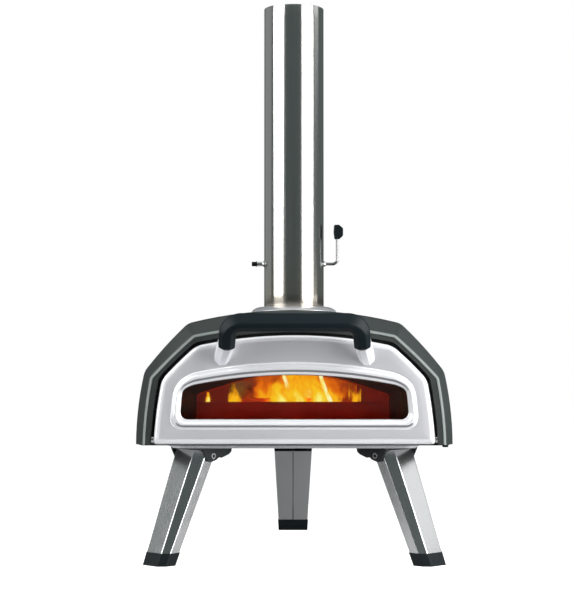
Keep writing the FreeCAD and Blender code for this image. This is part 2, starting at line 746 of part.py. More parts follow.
def damper_knob():
    """Moulded grip on the lever's end, wider on its outer side."""
    front = FLUE_Y - KNOB_DEPTH / 2
    points = [Vector(LEVER_X + x, front, KNOB_BOTTOM + z) for x, z in KNOB_PROFILE]
    body = plate(points, [KNOB_ROUNDING] * len(points), Vector(0, KNOB_DEPTH, 0))
    faces = [f for f in body.Faces if f.BoundBox.YLength < 0.01]
    body = body.makeChamfer(KNOB_BEVEL, [edge for face in faces for edge in face.Edges])
    socket = rod(DAMPER_ROD, (LEVER_X, FLUE_Y, KNOB_BOTTOM - 1), (LEVER_X, FLUE_Y, KNOB_BOTTOM + 8))
    return body.cut(socket)


def damper_nut():
    """Hexagonal nut and washer on the rod's far end."""
    points = []
    for step in range(6):
        angle = math.radians(60 * step)
        points.append(Vector(NUT_START, FLUE_Y + NUT_RADIUS * math.cos(angle),
                             DAMPER_Z + NUT_RADIUS * math.sin(angle)))
    nut = plate(points, [0.6] * 6, Vector(NUT_END - NUT_START, 0, 0))
    washer_end = NUT_END + WASHER_THICKNESS
    washer = rod(NUT_RADIUS + 0.4, (NUT_END, FLUE_Y, DAMPER_Z), (washer_end, FLUE_Y, DAMPER_Z))
    bore = rod(DAMPER_ROD, (NUT_START + 1, FLUE_Y, DAMPER_Z), (washer_end + 1, FLUE_Y, DAMPER_Z))
    return nut.fuse(washer).removeSplitter().cut(bore)


def damper_spacer():
    """Sleeve that keeps the nut off the pipe."""
    start = NUT_END + WASHER_THICKNESS
    end = -PIPE_RADIUS - BUSHING_LIFT - MOVING_GAP
    return tube(SPACER_RADIUS, DAMPER_ROD, (start, FLUE_Y, DAMPER_Z), (end, FLUE_Y, DAMPER_Z))


# ---------------------------------------------------------------- door

def door_panel():
    """Pressed front skin with returned edges and a raised surround for the window."""
    outside = arch_loft([
        (DOOR_FACE, DOOR.inset(4.0)),
        (DOOR_FACE + 0.9, DOOR.inset(1.6)),
        (DOOR_FACE + 2.4, DOOR.inset(0.4)),
        (DOOR_FACE + 4.5, DOOR),
        (DOOR_BACK - DOOR_SKIN, DOOR),
    ])
    hollow = DOOR.inset(DOOR_SKIN)
    floor = DOOR.bottom[1] + DOOR_SKIN
    inside = hollow.slab(DOOR_FACE + 3.0, DOOR_BACK + 1).common(
        block(-220, 220, DOOR_FACE, DOOR_BACK + 2, floor, 400))
    bead = arch_loft([(DOOR_FACE, BEAD), (DOOR_FACE - 2.6, BEAD.inset(3.0))])
    window = WINDOW.slab(DOOR_FACE - 10, DOOR_BACK)
    screw_ways = [rod(2.6, (x, DOOR_FACE - 5, z), (x, DOOR_FACE + 5, z)) for x, z in STANDOFF_SEATS]
    return outside.fuse(bead).removeSplitter().cut([inside, window] + screw_ways + hinge_bores())


def hinge_bores():
    return [rod(HINGE_PIN, (side * 175, HINGE_Y, HINGE_Z), (side * 230, HINGE_Y, HINGE_Z)) for side in (-1, 1)]


def door_inner_panel():
    """Flat back of the door, with the window's opening."""
    plate_solid = DOOR.inset(0.4).slab(DOOR_BACK - DOOR_SKIN, DOOR_BACK)
    return plate_solid.cut([WINDOW.inset(-2.0).slab(DOOR_BACK - 5, DOOR_BACK + 2)] + hinge_bores())


def window_ring(outer_grow, inner_grow, y0, y1):
    """Flat ring round the window."""
    outer = WINDOW.inset(-outer_grow)
    lowered = block(-200, 200, y0 - 1, y1 + 1, WINDOW.bottom[1] - outer_grow, 400)
    outside = outer.slab(y0, y1, BELOW).common(lowered)
    inner = WINDOW.inset(-inner_grow)
    inner_low = block(-200, 200, y0 - 2, y1 + 2, WINDOW.bottom[1] - inner_grow, 400)
    return outside.cut(inner.slab(y0 - 1, y1 + 1, BELOW).common(inner_low))


def door_glass():
    outer = WINDOW.inset(-9.0).slab(GLASS_FRONT, GLASS_FRONT + GLASS_THICKNESS, BELOW)
    floor = WINDOW.bottom[1] - 9
    return outer.common(block(-200, 200, GLASS_FRONT - 1, GLASS_FRONT + 10, floor, 400))


def glass_gasket():
    return window_ring(8.5, 1.0, DOOR_FACE + 3.0, GLASS_FRONT)


def glass_retainer():
    """Ring that clamps the glass from behind, screwed to the door's skin."""
    back = GLASS_FRONT + GLASS_THICKNESS
    ring = window_ring(11.0, 2.0, back, back + RETAINER_THICKNESS)
    holes = [rod(1.9, (x, back - 1, z), (x, back + 4, z)) for x, z in RETAINER_SCREWS]
    tabs = [block(x - 6, x + 6, back, back + RETAINER_THICKNESS, z - 5, z + 5)
            for x, z in RETAINER_SCREWS]
    return joined([ring] + tabs).cut(holes)


def retainer_screws():
    seat = GLASS_FRONT + GLASS_THICKNESS + RETAINER_THICKNESS
    length = seat - (DOOR_FACE + 3.0)
    return group([button_screw((x, seat, z), Y_AXIS, 1.8, 3.2, length) for x, z in RETAINER_SCREWS])


def handle_outline(y):
    """Front view of the handle: a bar that turns down at both ends."""
    right = [(56.4, 339.6), (90.9, 331.2), (97.0, 322.4), (102.0, 311.0), (102.3, 297.0),
             (97.5, 291.0), (83.0, 291.0), (78.0, 296.5), (77.0, 311.0), (72.5, 314.4)]
    radii = [30.0, 6.0, 8.0, 6.0, 2.0, 2.0, 2.0, 2.0, 3.0, 3.0]
    outline = [Vector(x, y, z) for x, z in right]
    outline += [Vector(-x, y, z) for x, z in reversed(right)]
    return rounded_loop(outline, radii + radii[::-1])


def handle_bar():
    """Black grip across the top of the door."""
    body = Part.Face(handle_outline(-HALF_DEPTH)).extrude(Vector(0, HANDLE_BACK + HALF_DEPTH, 0))
    front_face = [f for f in body.Faces if f.BoundBox.YMax < -HALF_DEPTH + 0.01][0]
    return body.makeChamfer(HANDLE_BEVEL, front_face.Edges)


def octagon(centre, radius):
    """Upright octagon that faces the front, one side level at its bottom."""
    points = []
    for step in range(8):
        angle = math.radians(22.5 + 45 * step)
        points.append(centre + Vector(radius * math.cos(angle), 0, radius * math.sin(angle)))
    return Part.makePolygon(points + [points[0]])


def handle_standoff(side):
    """Faceted metal stand-off from the door's face to the handle's end."""
    seat_x, seat_z = STANDOFF_SEATS[0 if side < 0 else 1]
    seat = Vector(seat_x, DOOR_FACE, seat_z)
    tip = Vector(side * STANDOFF_TIP_X, HANDLE_BACK, STANDOFF_TIP_Z)
    body = Part.makeLoft([octagon(seat, SEAT_RADIUS), octagon(tip, TIP_RADIUS)], True, True)
    stud = rod(2.5, (seat.x, DOOR_FACE, seat.z), (seat.x, DOOR_FACE + 8, seat.z))
    return body.fuse(stud).removeSplitter()


def hinge_pin(side):
    return rod(HINGE_PIN, (side * 183, HINGE_Y, HINGE_Z), (side * 200.5, HINGE_Y, HINGE_Z))


def hinge_bush(side):
    """Bright sleeve between the door's edge and the bezel."""
    ends = ((side * 191.0, HINGE_Y, HINGE_Z), (side * 193.9, HINGE_Y, HINGE_Z))
    return tube(4.6, HINGE_PIN + PIN_CLEARANCE, *ends)


# ---------------------------------------------------------------- legs

def leg_section(drop, grow):
    """Leg outline at one distance below its pivot, in the leg's own straight-down frame.

    x points outwards, y along the pivot; grow moves every face outwards.
    """
    share = (drop + LEG_TOP) / (LEG_REACH + LEG_TOP)
    outer_half = 18.5 + (14.5 - 18.5) * share
    slant = 12.0 + (7.6 - 12.0) * share
    depth = 28.0 + (22.6 - 28.0) * share
    inner_x = LEG_INNER_FACE - grow
    outer_x = LEG_INNER_FACE + depth + grow
    corner_shift = grow * math.tan(math.radians(22.5))
    outer_y = outer_half + corner_shift
    wide_y = outer_half + slant + grow
    wide_x = LEG_INNER_FACE + depth - slant + corner_shift
    corners = [(outer_x, -outer_y), (outer_x, outer_y), (wide_x, wide_y), (inner_x, wide_y),
               (inner_x, -wide_y), (wide_x, -wide_y)]
    points = [Vector(x, y, -drop) for x, y in corners]
    radii = [2.5, 2.5, 2.5, 2.0, 2.0, 2.5]
    if grow < 0:
        radii = [1.2] * 6
    return rounded_loop(points, radii)


def leg_taper(grow, top, bottom):
    return Part.makeLoft([leg_section(top, grow), leg_section(bottom, grow)], True, True)


def placed_leg(shape, name):
    """Turn a straight-down leg shape to its splayed place under the oven."""
    x, y, yaw = LEG_PIVOTS[name]
    shape.rotate(Vector(0, 0, 0), Y_AXIS, -LEG_SPLAY)
    shape.rotate(Vector(0, 0, 0), Z_AXIS, yaw)
    shape.translate(Vector(x, y, LEG_FOLD_AXIS_Z))
    return shape


def leg_body(name):
    """Folded sheet leg: a hollow tapered channel with a seam along its inner face."""
    body = leg_taper(0, -LEG_TOP, LEG_REACH)
    body = body.cut(leg_taper(-LEG_WALL, -LEG_TOP - 5, LEG_REACH + 5))
    seam = block(LEG_INNER_FACE - 1, LEG_INNER_FACE + LEG_WALL + 1, -0.7, 0.7, -LEG_REACH - 5, 10)
    pivot = rod(PIVOT_RADIUS + 0.08, (0, -60, 0), (0, 60, 0))
    body = placed_leg(body.cut([seam, pivot]), name)
    level = slab_between(FOOT_SOLE, PAN_BOTTOM - BRACKET_PLATE - 0.6)
    return body.common(level)


def slab_between(low, high):
    return block(-400, 400, -400, 500, low, high)


def foot_cap(name):
    """Black cap over the leg's end, flat on the ground."""
    cap = placed_leg(leg_taper(FOOT_SKIRT, 120, LEG_REACH + 12), name).common(slab_between(0, FOOT_HEIGHT))
    core = placed_leg(leg_taper(0.05, 110, LEG_REACH + 12), name).common(slab_between(FOOT_SOLE, 60))
    return cap.cut(core)


def bracket_frame(shape, name):
    x, y, yaw = LEG_PIVOTS[name]
    shape.rotate(Vector(0, 0, 0), Z_AXIS, yaw)
    shape.translate(Vector(x, y, LEG_FOLD_AXIS_Z))
    return shape


def leg_bracket(name):
    """Folded bracket: a plate under the pan with a cheek on each side of the leg."""
    top = PAN_BOTTOM - LEG_FOLD_AXIS_Z
    low = top - BRACKET_PLATE
    corners = [Vector(-35, -CHEEK_OUTER, low), Vector(18.9, -CHEEK_OUTER, low),
               Vector(18.9, CHEEK_OUTER, low), Vector(-35, CHEEK_OUTER, low)]
    body = plate(corners, [0] * 4, Vector(0, 0, BRACKET_PLATE))
    cheeks = []
    for start in (-CHEEK_OUTER, CHEEK_INNER):
        points = [Vector(x, start, z) for x, z in CHEEK_PROFILE]
        radii = [0, 1.5, 3.0, 2.0, 1.5, 2.0, 4.0, 4.0, 0]
        cheeks.append(plate(points, radii, Vector(0, CHEEK_OUTER - CHEEK_INNER, 0)))
    pivot = rod(PIVOT_RADIUS, (0, -60, 0), (0, 60, 0))
    holes = [rod(2.1, (x, y, low - 2), (x, y, top + 2)) for x, y in BRACKET_SCREWS]
    return bracket_frame(joined([body] + cheeks).cut([pivot] + holes), name)


def pivot_pin(name):
    """Hollow rivet that the leg turns on."""
    length = CHEEK_OUTER + 1.0
    return bracket_frame(tube(PIVOT_RADIUS, 2.3, (0, -length, 0), (0, length, 0)), name)


def bracket_screw_places():
    places = []
    for x, y, yaw in LEG_PIVOTS.values():
        turn = math.radians(yaw)
        for u, v in BRACKET_SCREWS:
            places.append((x + u * math.cos(turn) - v * math.sin(turn),
                           y + u * math.sin(turn) + v * math.cos(turn)))
    return places


def bracket_screws():
    """Screws from inside the pan, flush below the bracket plates."""
    seat = PAN_BOTTOM + THIN_SHEET
    screws = []
    for x, y in bracket_screw_places():
        screws.append(button_screw((x, y, seat), Z_AXIS, 2.0, 3.6, THIN_SHEET + BRACKET_PLATE - 0.1))
    return group(screws)


# ---------------------------------------------------------------- all nodes

def all_nodes():
    nodes = {
        "outer_shell": outer_shell(),
        "front_bezel": front_bezel(),
        "mouth_frame": mouth_frame(),
        "door_seal": door_seal(),
        "rear_panel": rear_panel(),
        "rear_panel_screws": rear_panel_screws(),
        "base_plate": base_plate(),
        "base_pan": base_pan(),
        "base_stud": base_stud(),
        "chamber_left_wall": chamber_wall(-1),
        "chamber_right_wall": chamber_wall(1),
        "chamber_roof": chamber_roof(),
        "insulation": insulation(),
        "stone_rails": stone_rails(),
        "baking_stone": baking_stone(),
        "rear_baffle": rear_baffle(),
        "firebox": firebox(),
        "burner_port_cover": burner_port_cover(),
        "port_cover_screws": port_cover_screws(),
        "fuel_tray": fuel_tray(),
        "fuel_grate": fuel_grate(),
        "fuel_lid": fuel_lid(),
        "lid_handle": lid_handle(),
        "lid_handle_posts": lid_handle_posts(),
        "flue_collar": flue_collar(),
        "chimney_flange": chimney_flange(),
        "chimney_pipe": chimney_pipe(),
        "pipe_bushings": pipe_bushings(),
        "damper_plate": damper_plate(),
        "damper_screws": damper_screws(),
        "damper_rod": damper_rod(),
        "damper_knob": damper_knob(),
        "damper_nut": damper_nut(),
        "damper_spacer": damper_spacer(),
        "door_panel": door_panel(),
        "door_inner_panel": door_inner_panel(),
        "door_glass": door_glass(),
        "glass_gasket": glass_gasket(),
        "glass_retainer": glass_retainer(),
        "retainer_screws": retainer_screws(),
        "handle_bar": handle_bar(),
        "left_handle_standoff": handle_standoff(-1),
        "right_handle_standoff": handle_standoff(1),
        "left_hinge_pin": hinge_pin(-1),
        "right_hinge_pin": hinge_pin(1),
        "left_hinge_bush": hinge_bush(-1),
        "right_hinge_bush": hinge_bush(1),
        "bracket_screws": bracket_screws(),
    }
    for name in LEG_PIVOTS:
        nodes[name + "_leg"] = leg_body(name)
        nodes[name + "_foot"] = foot_cap(name)
        nodes[name + "_bracket"] = leg_bracket(name)
        nodes[name + "_pivot_pin"] = pivot_pin(name)
    return nodes


for node, shape in all_nodes().items():
    if not shape.isValid() or not shape.Solids:
        print("BAD", node)
    box = shape.optimalBoundingBox()
    print("%-24s solids %2d  x %7.1f %7.1f  y %7.1f %7.1f  z %6.1f %6.1f" % (
        node, len(shape.Solids), box.XMin, box.XMax, box.YMin, box.YMax, box.ZMin, box.ZMax))
    shape.exportStep("parts/" + node + ".step")
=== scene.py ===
import json
import math

import bmesh
import bpy
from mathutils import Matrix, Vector


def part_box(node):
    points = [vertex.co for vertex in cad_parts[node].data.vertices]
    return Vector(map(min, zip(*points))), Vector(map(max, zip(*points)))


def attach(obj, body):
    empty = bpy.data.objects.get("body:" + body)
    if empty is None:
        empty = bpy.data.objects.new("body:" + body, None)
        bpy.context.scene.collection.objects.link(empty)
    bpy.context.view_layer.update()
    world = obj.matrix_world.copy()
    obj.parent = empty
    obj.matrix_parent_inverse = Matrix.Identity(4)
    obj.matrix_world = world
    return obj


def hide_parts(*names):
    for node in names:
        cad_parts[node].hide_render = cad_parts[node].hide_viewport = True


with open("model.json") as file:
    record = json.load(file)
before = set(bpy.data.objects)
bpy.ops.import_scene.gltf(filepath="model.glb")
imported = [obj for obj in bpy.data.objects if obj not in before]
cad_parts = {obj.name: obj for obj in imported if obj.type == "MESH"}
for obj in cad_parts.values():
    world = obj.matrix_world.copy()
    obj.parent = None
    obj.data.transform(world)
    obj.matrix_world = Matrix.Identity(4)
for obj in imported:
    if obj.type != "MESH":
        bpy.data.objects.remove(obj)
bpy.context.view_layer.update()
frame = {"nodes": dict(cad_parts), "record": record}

MM = 0.001

# ---------------------------------------------------------------- places read from the frame

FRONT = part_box("outer_shell")[0].y
PIPE_LOW, PIPE_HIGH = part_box("chimney_pipe")
FLUE_Y = (PIPE_LOW.y + PIPE_HIGH.y) / 2
BAFFLE_LOW, BAFFLE_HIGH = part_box("rear_baffle")
REAR_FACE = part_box("rear_panel")[1].y

# ---------------------------------------------------------------- camera

CAMERA_SENSOR = 36.0
CAMERA_LENS = 102.55
CAMERA_BACK = 2.300
CAMERA_SIDE = -0.012
CAMERA_HEIGHT = 0.2905
CAMERA_TILT = math.radians(1.774)
CAMERA_PAN = math.radians(-0.049)


def link(name, data):
    """New object in the scene that shows a mesh, a light or a camera."""
    made = bpy.data.objects.new(name, data)
    bpy.context.scene.collection.objects.link(made)
    return made


def make_camera():
    data = bpy.data.cameras.new("camera")
    data.lens = CAMERA_LENS
    data.sensor_width = CAMERA_SENSOR
    camera = link("camera", data)
    camera.location = (CAMERA_SIDE, FRONT - CAMERA_BACK, CAMERA_HEIGHT)
    camera.rotation_euler = (math.pi / 2 + CAMERA_TILT, 0.0, CAMERA_PAN)
    bpy.context.scene.camera = camera


# ---------------------------------------------------------------- mesh helpers

def finish_piece(piece, body, material, smooth_angle, nodes=()):
    """Give a new piece its material, its shading and its body, and hide the CAD nodes it stands for."""
    piece.data.materials.append(material)
    piece.data.shade_smooth()
    piece.data.set_sharp_from_angle(angle=math.radians(smooth_angle))
    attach(piece, body)
    if nodes:
        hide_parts(*nodes)


def skin(name, loops, capped=False, closed=True):
    """Mesh through loops of points, each loop joined to the next by quads."""
    count = len(loops[0])
    points = [tuple(p) for loop in loops for p in loop]
    faces = []
    for ring in range(len(loops) - 1):
        a, b = ring * count, (ring + 1) * count
        for i in range(count if closed else count - 1):
            j = (i + 1) % count
            faces.append((a + i, a + j, b + j, b + i))
    if capped:
        last = (len(loops) - 1) * count
        faces.append(tuple(range(count))[::-1])
        faces.append(tuple(range(last, last + count)))
    mesh = bpy.data.meshes.new(name)
    mesh.from_pydata(points, [], faces)
    fix_normals(mesh)
    return link(name, mesh)


def fix_normals(mesh):
    work = bmesh.new()
    work.from_mesh(mesh)
    bmesh.ops.recalc_face_normals(work, faces=work.faces)
    work.to_mesh(mesh)
    work.free()


def lathe(name, profile, centre, segments):
    """Solid of revolution about a vertical axis; profile is a closed run of (radius, height)."""
    loops = []
    for step in range(segments):
        angle = 2 * math.pi * step / segments
        way = Vector((math.cos(angle), math.sin(angle), 0))
        middle = Vector((centre[0], centre[1], 0))
        loops.append([middle + way * radius + Vector((0, 0, z)) for radius, z in profile])
    return skin(name, loops + [loops[0]])


def placed(points, y):
    """Points (x, z) in millimetres as 3-D points in metres, at y millimetres from the shell's front."""
    return [Vector((x * MM, FRONT + y * MM, z * MM)) for x, z in points]


# ---------------------------------------------------------------- outlines of the door

CORNER_STEPS = 8
SIDE_STEPS = 14
CORNER_PULL = 0.94
CORNER_SHARE = 0.42
SMALLEST_RADIUS = 0.8


class Arch:
    """Closed arch seen from the front, in millimetres, sampled as one loop of points."""

    def __init__(self, bottom, low, high, crown, bulges, radii):
        self.right = [bottom, low, high]
        self.crown = crown
        self.bulges = bulges
        self.radii = radii

    def inset(self, distance):
        """The same arch with every side moved inwards."""
        lines = []
        path = [(0.0, self.right[0][1])] + self.right + [(0.0, self.right[2][1])]
        for a, b in zip(path, path[1:]):
            run = (b[0] - a[0], b[1] - a[1])
            length = math.hypot(*run)
            move = (-run[1] / length * distance, run[0] / length * distance)
            lines.append(((a[0] + move[0], a[1] + move[1]), (b[0] + move[0], b[1] + move[1])))
        corners = [crossing(lines[i], lines[i + 1]) for i in range(3)]
        radii = [max(radius - distance, SMALLEST_RADIUS) for radius in self.radii]
        return Arch(*corners, self.crown - distance, self.bulges, radii)

    def points(self):
        """(x, z) round the whole outline, starting at the lower right corner."""
        side_bulge, slope_bulge = self.bulges
        top_bulge = self.crown - self.right[2][1]
        path = self.right + [(-x, z) for x, z in reversed(self.right)]
        bulges = [side_bulge, slope_bulge, top_bulge, slope_bulge, side_bulge, 0.0]
        radii = self.radii + self.radii[::-1]
        count = len(path)
        sides = [(path[i], path[(i + 1) % count], bulges[i]) for i in range(count)]
        lengths = [length_of(side) for side in sides]
        reaches = [min(radii[i], CORNER_SHARE * lengths[i - 1], CORNER_SHARE * lengths[i])
                   for i in range(count)]
        loop = []
        for i, side in enumerate(sides):
            first = reaches[i] / lengths[i]
            last = 1 - reaches[(i + 1) % count] / lengths[i]
            start = on_side(sides[i - 1], 1 - reaches[i] / lengths[i - 1])
            end = on_side(side, first)
            for step in range(CORNER_STEPS + 1):
                loop.append(round_off(start, path[i], end, step / CORNER_STEPS))
            for step in range(1, SIDE_STEPS):
                loop.append(on_side(side, first + (last - first) * step / SIDE_STEPS))
        return loop

    def at(self, y):
        """The outline as 3-D points at one depth."""
        return placed(self.points(), y)


def crossing(first, second):
    """Where two lines, each given by two points, meet."""
    (x1, z1), (x2, z2) = first
    (x3, z3), (x4, z4) = second
    ax, az, bx, bz = x2 - x1, z2 - z1, x4 - x3, z4 - z3
    share = ((x3 - x1) * bz - (z3 - z1) * bx) / (ax * bz - az * bx)
    return (x1 + ax * share, z1 + az * share)


def length_of(side):
    (x1, z1), (x2, z2), _ = side
    return math.hypot(x2 - x1, z2 - z1)


def on_side(side, share):
    """A point on a side that bows outwards by its bulge."""
    (x1, z1), (x2, z2), bulge = side
    length = length_of(side)
    out = ((z2 - z1) / length, -(x2 - x1) / length)
    lift = 4 * bulge * share * (1 - share)
    return (x1 + (x2 - x1) * share + out[0] * lift, z1 + (z2 - z1) * share + out[1] * lift)


def round_off(a, b, c, share):
    """Point on the curve from a to c that heads for b."""
    left = (1 - share) ** 2
    middle = 2 * share * (1 - share) * CORNER_PULL
    right = share ** 2
    total = left + middle + right
    return ((a[0] * left + b[0] * middle + c[0] * right) / total,
            (a[1] * left + b[1] * middle + c[1] * right) / total)


def between(first, second, share):
    """Loop of points part of the way from one outline to the other."""
    pairs = zip(first.points(), second.points())
    return [(a[0] + (b[0] - a[0]) * share, a[1] + (b[1] - a[1]) * share) for a, b in pairs]


DOOR = Arch((190.6, 163.0), (179.5, 250.6), (133.0, 296.2), 310.6, (1.6, 1.0), [5.0, 9.0, 9.0])
BEAD = Arch((168.5, 183.4), (163.0, 240.5), (142.5, 258.8), 274.2, (0.6, 0.8), [19.0, 12.0, 12.0])
WINDOW = Arch((154.8, 196.6), (151.2, 236.0), (138.5, 242.6), 256.6, (0.4, 0.2), [12.0, 9.0, 8.0])
CHAMBER_END = Arch((156.5, 162.0), (156.2, 219.0), (84.0, 242.0), 253.5, (0.2, 0.4), [1.0, 5.0, 5.0])

# ---------------------------------------------------------------- door skin

# Depths in millimetres from the shell's front edge: the door's face stands 8 in front of it.
DOOR_BACK_Y = 7.8
DOOR_FACE_Y = -8.1
DOOR_INNER_Y = -5.1
DOOR_RETURN = 2.0
# The rim as (inset from the door's outline, depth), from the back to the flat face
DOOR_EDGE = [(0.0, DOOR_BACK_Y), (0.0, -2.2), (0.35, -4.2), (1.1, -5.7), (2.3, -6.8), (4.0, -7.4),
             (7.0, -7.75), (12.0, -7.95)]
# The flat face as shares of the way from the rim to the bead
DOOR_FLAT = (0.25, 0.5, 0.75, 0.93)
# The raised surround as (share of the way from the bead to the window, depth)
SURROUND = [(-0.030, -8.1), (-0.012, -7.8), (0.0, -7.7), (0.03, -7.9), (0.08, -8.8), (0.13, -9.1),
            (0.20, -9.2), (0.24, -9.5), (0.37, -11.3), (0.42, -11.6), (0.50, -11.7), (0.58, -11.5),
            (0.64, -11.0), (0.75, -9.4), (0.80, -9.1), (0.88, -8.9), (0.94, -8.7), (0.98, -8.1),
            (1.0, -7.0), (1.0, DOOR_INNER_Y)]
SURROUND_RETURN = 0.9
# Slopes of the surround from this ring on that face down by more than the tilt get a darker copy of the
# door steel: painted shade
SHADE_FROM_RING = 6
SHADE_TILT = -0.38
# Material indices: the plain panel, painted highlight on the rim and the surround, painted shade on the
# undersides
PANEL, HIGHLIT_RIM, PAINTED_SHADE = range(3)


def door_skin(panel_finish, rim_highlight_finish, painted_shade_finish):
    """Pressed stainless door: rounded rim, flat face, raised window surround. A lighter copy of its
    steel on the rim and the surround is painted highlight, a darker one on the surround's down-facing
    undersides painted shade.
    """
    flat_edge = DOOR.inset(DOOR_EDGE[-1][0])
    loops = [DOOR.inset(DOOR_RETURN).at(DOOR_BACK_Y)]
    loops += [DOOR.inset(inset).at(y) for inset, y in DOOR_EDGE]
    loops += [placed(between(flat_edge, BEAD, share), DOOR_FACE_Y) for share in DOOR_FLAT]
    surround_start = len(loops)
    loops += [placed(between(BEAD, WINDOW, share), y) for share, y in SURROUND]
    loops.append(placed(between(BEAD, WINDOW, SURROUND_RETURN), DOOR_INNER_Y))
    loops.append(DOOR.inset(DOOR_RETURN).at(DOOR_INNER_Y))
    loops.append(loops[0])
    piece = skin("door_skin", loops)
    finish_piece(piece, "door", panel_finish, smooth_angle=60, nodes=["door_panel"])
    piece.data.materials.append(rim_highlight_finish)
    piece.data.materials.append(painted_shade_finish)
    for face in piece.data.polygons:
        ring = face.index // len(loops[0])
        if ring >= surround_start + SHADE_FROM_RING and face.normal.z < SHADE_TILT:
            face.material_index = PAINTED_SHADE
        elif ring < len(DOOR_EDGE) - 1 or ring >= surround_start:
            face.material_index = HIGHLIT_RIM
        else:
            face.material_index = PANEL


# ---------------------------------------------------------------- handle grip

ACROSS = Vector((1, 0, 0))
BAR_Y = -50.0
BAR_Z = 327.0
BAR_HALF = 12.6
BAR_SHORTER = 2.0
TIP = Vector((90.3, -38.0, 299.5))
DROP = Vector((0, TIP.y - BAR_Y, TIP.z - BAR_Z)).normalized()
TIP_SPREAD = 0.07
BEND_RADIUS = 19.0
BEND_STEPS = 12
BEND_TAPER = 0.03
CORNER_SOFTNESS = 0.08
SECTION_CHANGE = 1.3

# Sections of the grip as (forward, upward) shares of its half thickness: in the bar and at the ends
BAR_SECTION = [(0.96, -0.14), (0.20, 1.0), (-0.70, 1.0), (-1.0, 0.70), (-1.0, -0.60), (-0.60, -1.0),
               (0.30, -1.0), (0.92, -0.56)]
TIP_SECTION = [(0.95, 0.40), (0.40, 0.95), (-0.40, 0.95), (-0.95, 0.40), (-0.95, -0.40),
               (-0.40, -0.95), (0.40, -0.95), (0.95, -0.40)]
# The rounded ends as (distance past the tip, size)
GRIP_ENDS = ((-6.0, 0.96), (0.0, 0.95), (4.6, 0.92), (7.6, 0.62))


def handle_path():
    """Stations along half the grip as (centre, way onwards, size), from the middle outwards."""
    end_way = (ACROSS * TIP_SPREAD + DROP).normalized()
    turn = ACROSS.angle(end_way)
    corner = Vector((TIP.x - BAR_SHORTER, BAR_Y, BAR_Z))
    start = corner - ACROSS * BEND_RADIUS * math.tan(turn / 2)
    side = (end_way - ACROSS * end_way.x).normalized()
    centre = start + side * BEND_RADIUS
    stations = [(Vector((start.x * share, BAR_Y, BAR_Z)), ACROSS, 1.0) for share in (0.0, 0.5, 1.0)]
    for step in range(1, BEND_STEPS + 1):
        angle = turn * step / BEND_STEPS
        place = centre + ACROSS * BEND_RADIUS * math.sin(angle) - side * BEND_RADIUS * math.cos(angle)
        way = ACROSS * math.cos(angle) + side * math.sin(angle)
        stations.append((place, way, 1.0 - BEND_TAPER * step / BEND_STEPS))
    for past_tip, size in GRIP_ENDS:
        stations.append((TIP + end_way * past_tip, end_way, size))
    return stations


def handle_section(place, way, size):
    """Chamfered section of the grip, each corner softened by two points."""
    tip_front = DROP.cross(ACROSS).normalized()
    if tip_front.y > 0:
        tip_front.negate()
    blend = 1.0 - way.x
    front = Vector((0, -1, 0)).lerp(tip_front, blend).normalized()
    up = front.cross(way).normalized()
    half = BAR_HALF * size
    section_blend = min(1.0, blend * SECTION_CHANGE)
    corners = [Vector(a).lerp(Vector(b), section_blend) for a, b in zip(BAR_SECTION, TIP_SECTION)]
    loop = []
    for i, corner in enumerate(corners):
        for other in (corners[i - 1], corners[(i + 1) % len(corners)]):
            near = corner + (other - corner).normalized() * CORNER_SOFTNESS
            loop.append(place + front * near.x * half + up * near.y * half)
    return loop


def handle_grip(material):
    right = [handle_section(*station) for station in handle_path()]
    left = [[Vector((-p.x, p.y, p.z)) for p in loop] for loop in reversed(right[1:])]
    loops = [[Vector((p.x * MM, FRONT + p.y * MM, p.z * MM)) for p in loop] for loop in left + right]
    piece = skin("handle_grip", loops, capped=True)
    bevel = piece.modifiers.new("soft_ends", "BEVEL")
    bevel.width = 0.8 * MM
    bevel.segments = 2
    bevel.angle_limit = math.radians(50)
    finish_piece(piece, "door", material, smooth_angle=16, nodes=["handle_bar"])


# ---------------------------------------------------------------- trim round the chamber's far end

TRIM_INSETS = (0.3, 1.9)
TRIM_DEPTHS = (462.5, 465.5)


def arch_trim(material):
    """Thin folded edge round the far end of the cooking chamber."""
    (outer, inner), (near, far) = TRIM_INSETS, TRIM_DEPTHS
    section = [(outer, near), (inner, near), (inner, far), (outer, far), (outer, near)]
    piece = skin("arch_trim", [CHAMBER_END.inset(inset).at(y) for inset, y in section])
    finish_piece(piece, "oven_body", material, smooth_angle=40)


# ---------------------------------------------------------------- chimney

PIPE_SEGMENTS = 256
PIPE_STEPS = 24
PIPE_WALL = 1.2


def chimney_tube(material):
    """Pipe with a rolled upper rim and a soft lower edge, worked out in millimetres."""
    outer = (PIPE_HIGH.x - PIPE_LOW.x) / 2 / MM
    inner = outer - PIPE_WALL
    low, high = PIPE_LOW.z / MM, PIPE_HIGH.z / MM
    climbs = [(high - low) * step / PIPE_STEPS for step in range(1, PIPE_STEPS)]
    profile = [(inner, low + 0.4), (inner + 0.3, low), (outer - 0.3, low), (outer, low + 0.4)]
    profile += [(outer, low + climb) for climb in climbs]
    profile += [(outer, high - 0.9), (outer - 0.2, high - 0.25), (outer - 0.6, high),
                (inner + 0.2, high - 0.2), (inner, high - 0.8)]
    profile += [(inner, high - climb) for climb in climbs]
    scaled = [(radius * MM, z * MM) for radius, z in profile]
    piece = lathe("chimney_tube", scaled, (0.0, FLUE_Y), PIPE_SEGMENTS)
    finish_piece(piece, "chimney", material, smooth_angle=50, nodes=["chimney_pipe"])


# ---------------------------------------------------------------- shader nodes

# Sockets of the mix node when it blends colours
MIX_FIRST, MIX_SECOND, MIX_RESULT = 6, 7, 2


def fill(tree, socket, value):
    """Link an input to another node's output, or give it a plain value."""
    if isinstance(value, bpy.types.NodeSocket):
        tree.links.new(value, socket)
    else:
        socket.default_value = value


def fill_named(tree, node, values):
    """Fill inputs by their labels, written with underscores for spaces."""
    for label, value in values.items():
        fill(tree, node.inputs[label.replace("_", " ")], value)


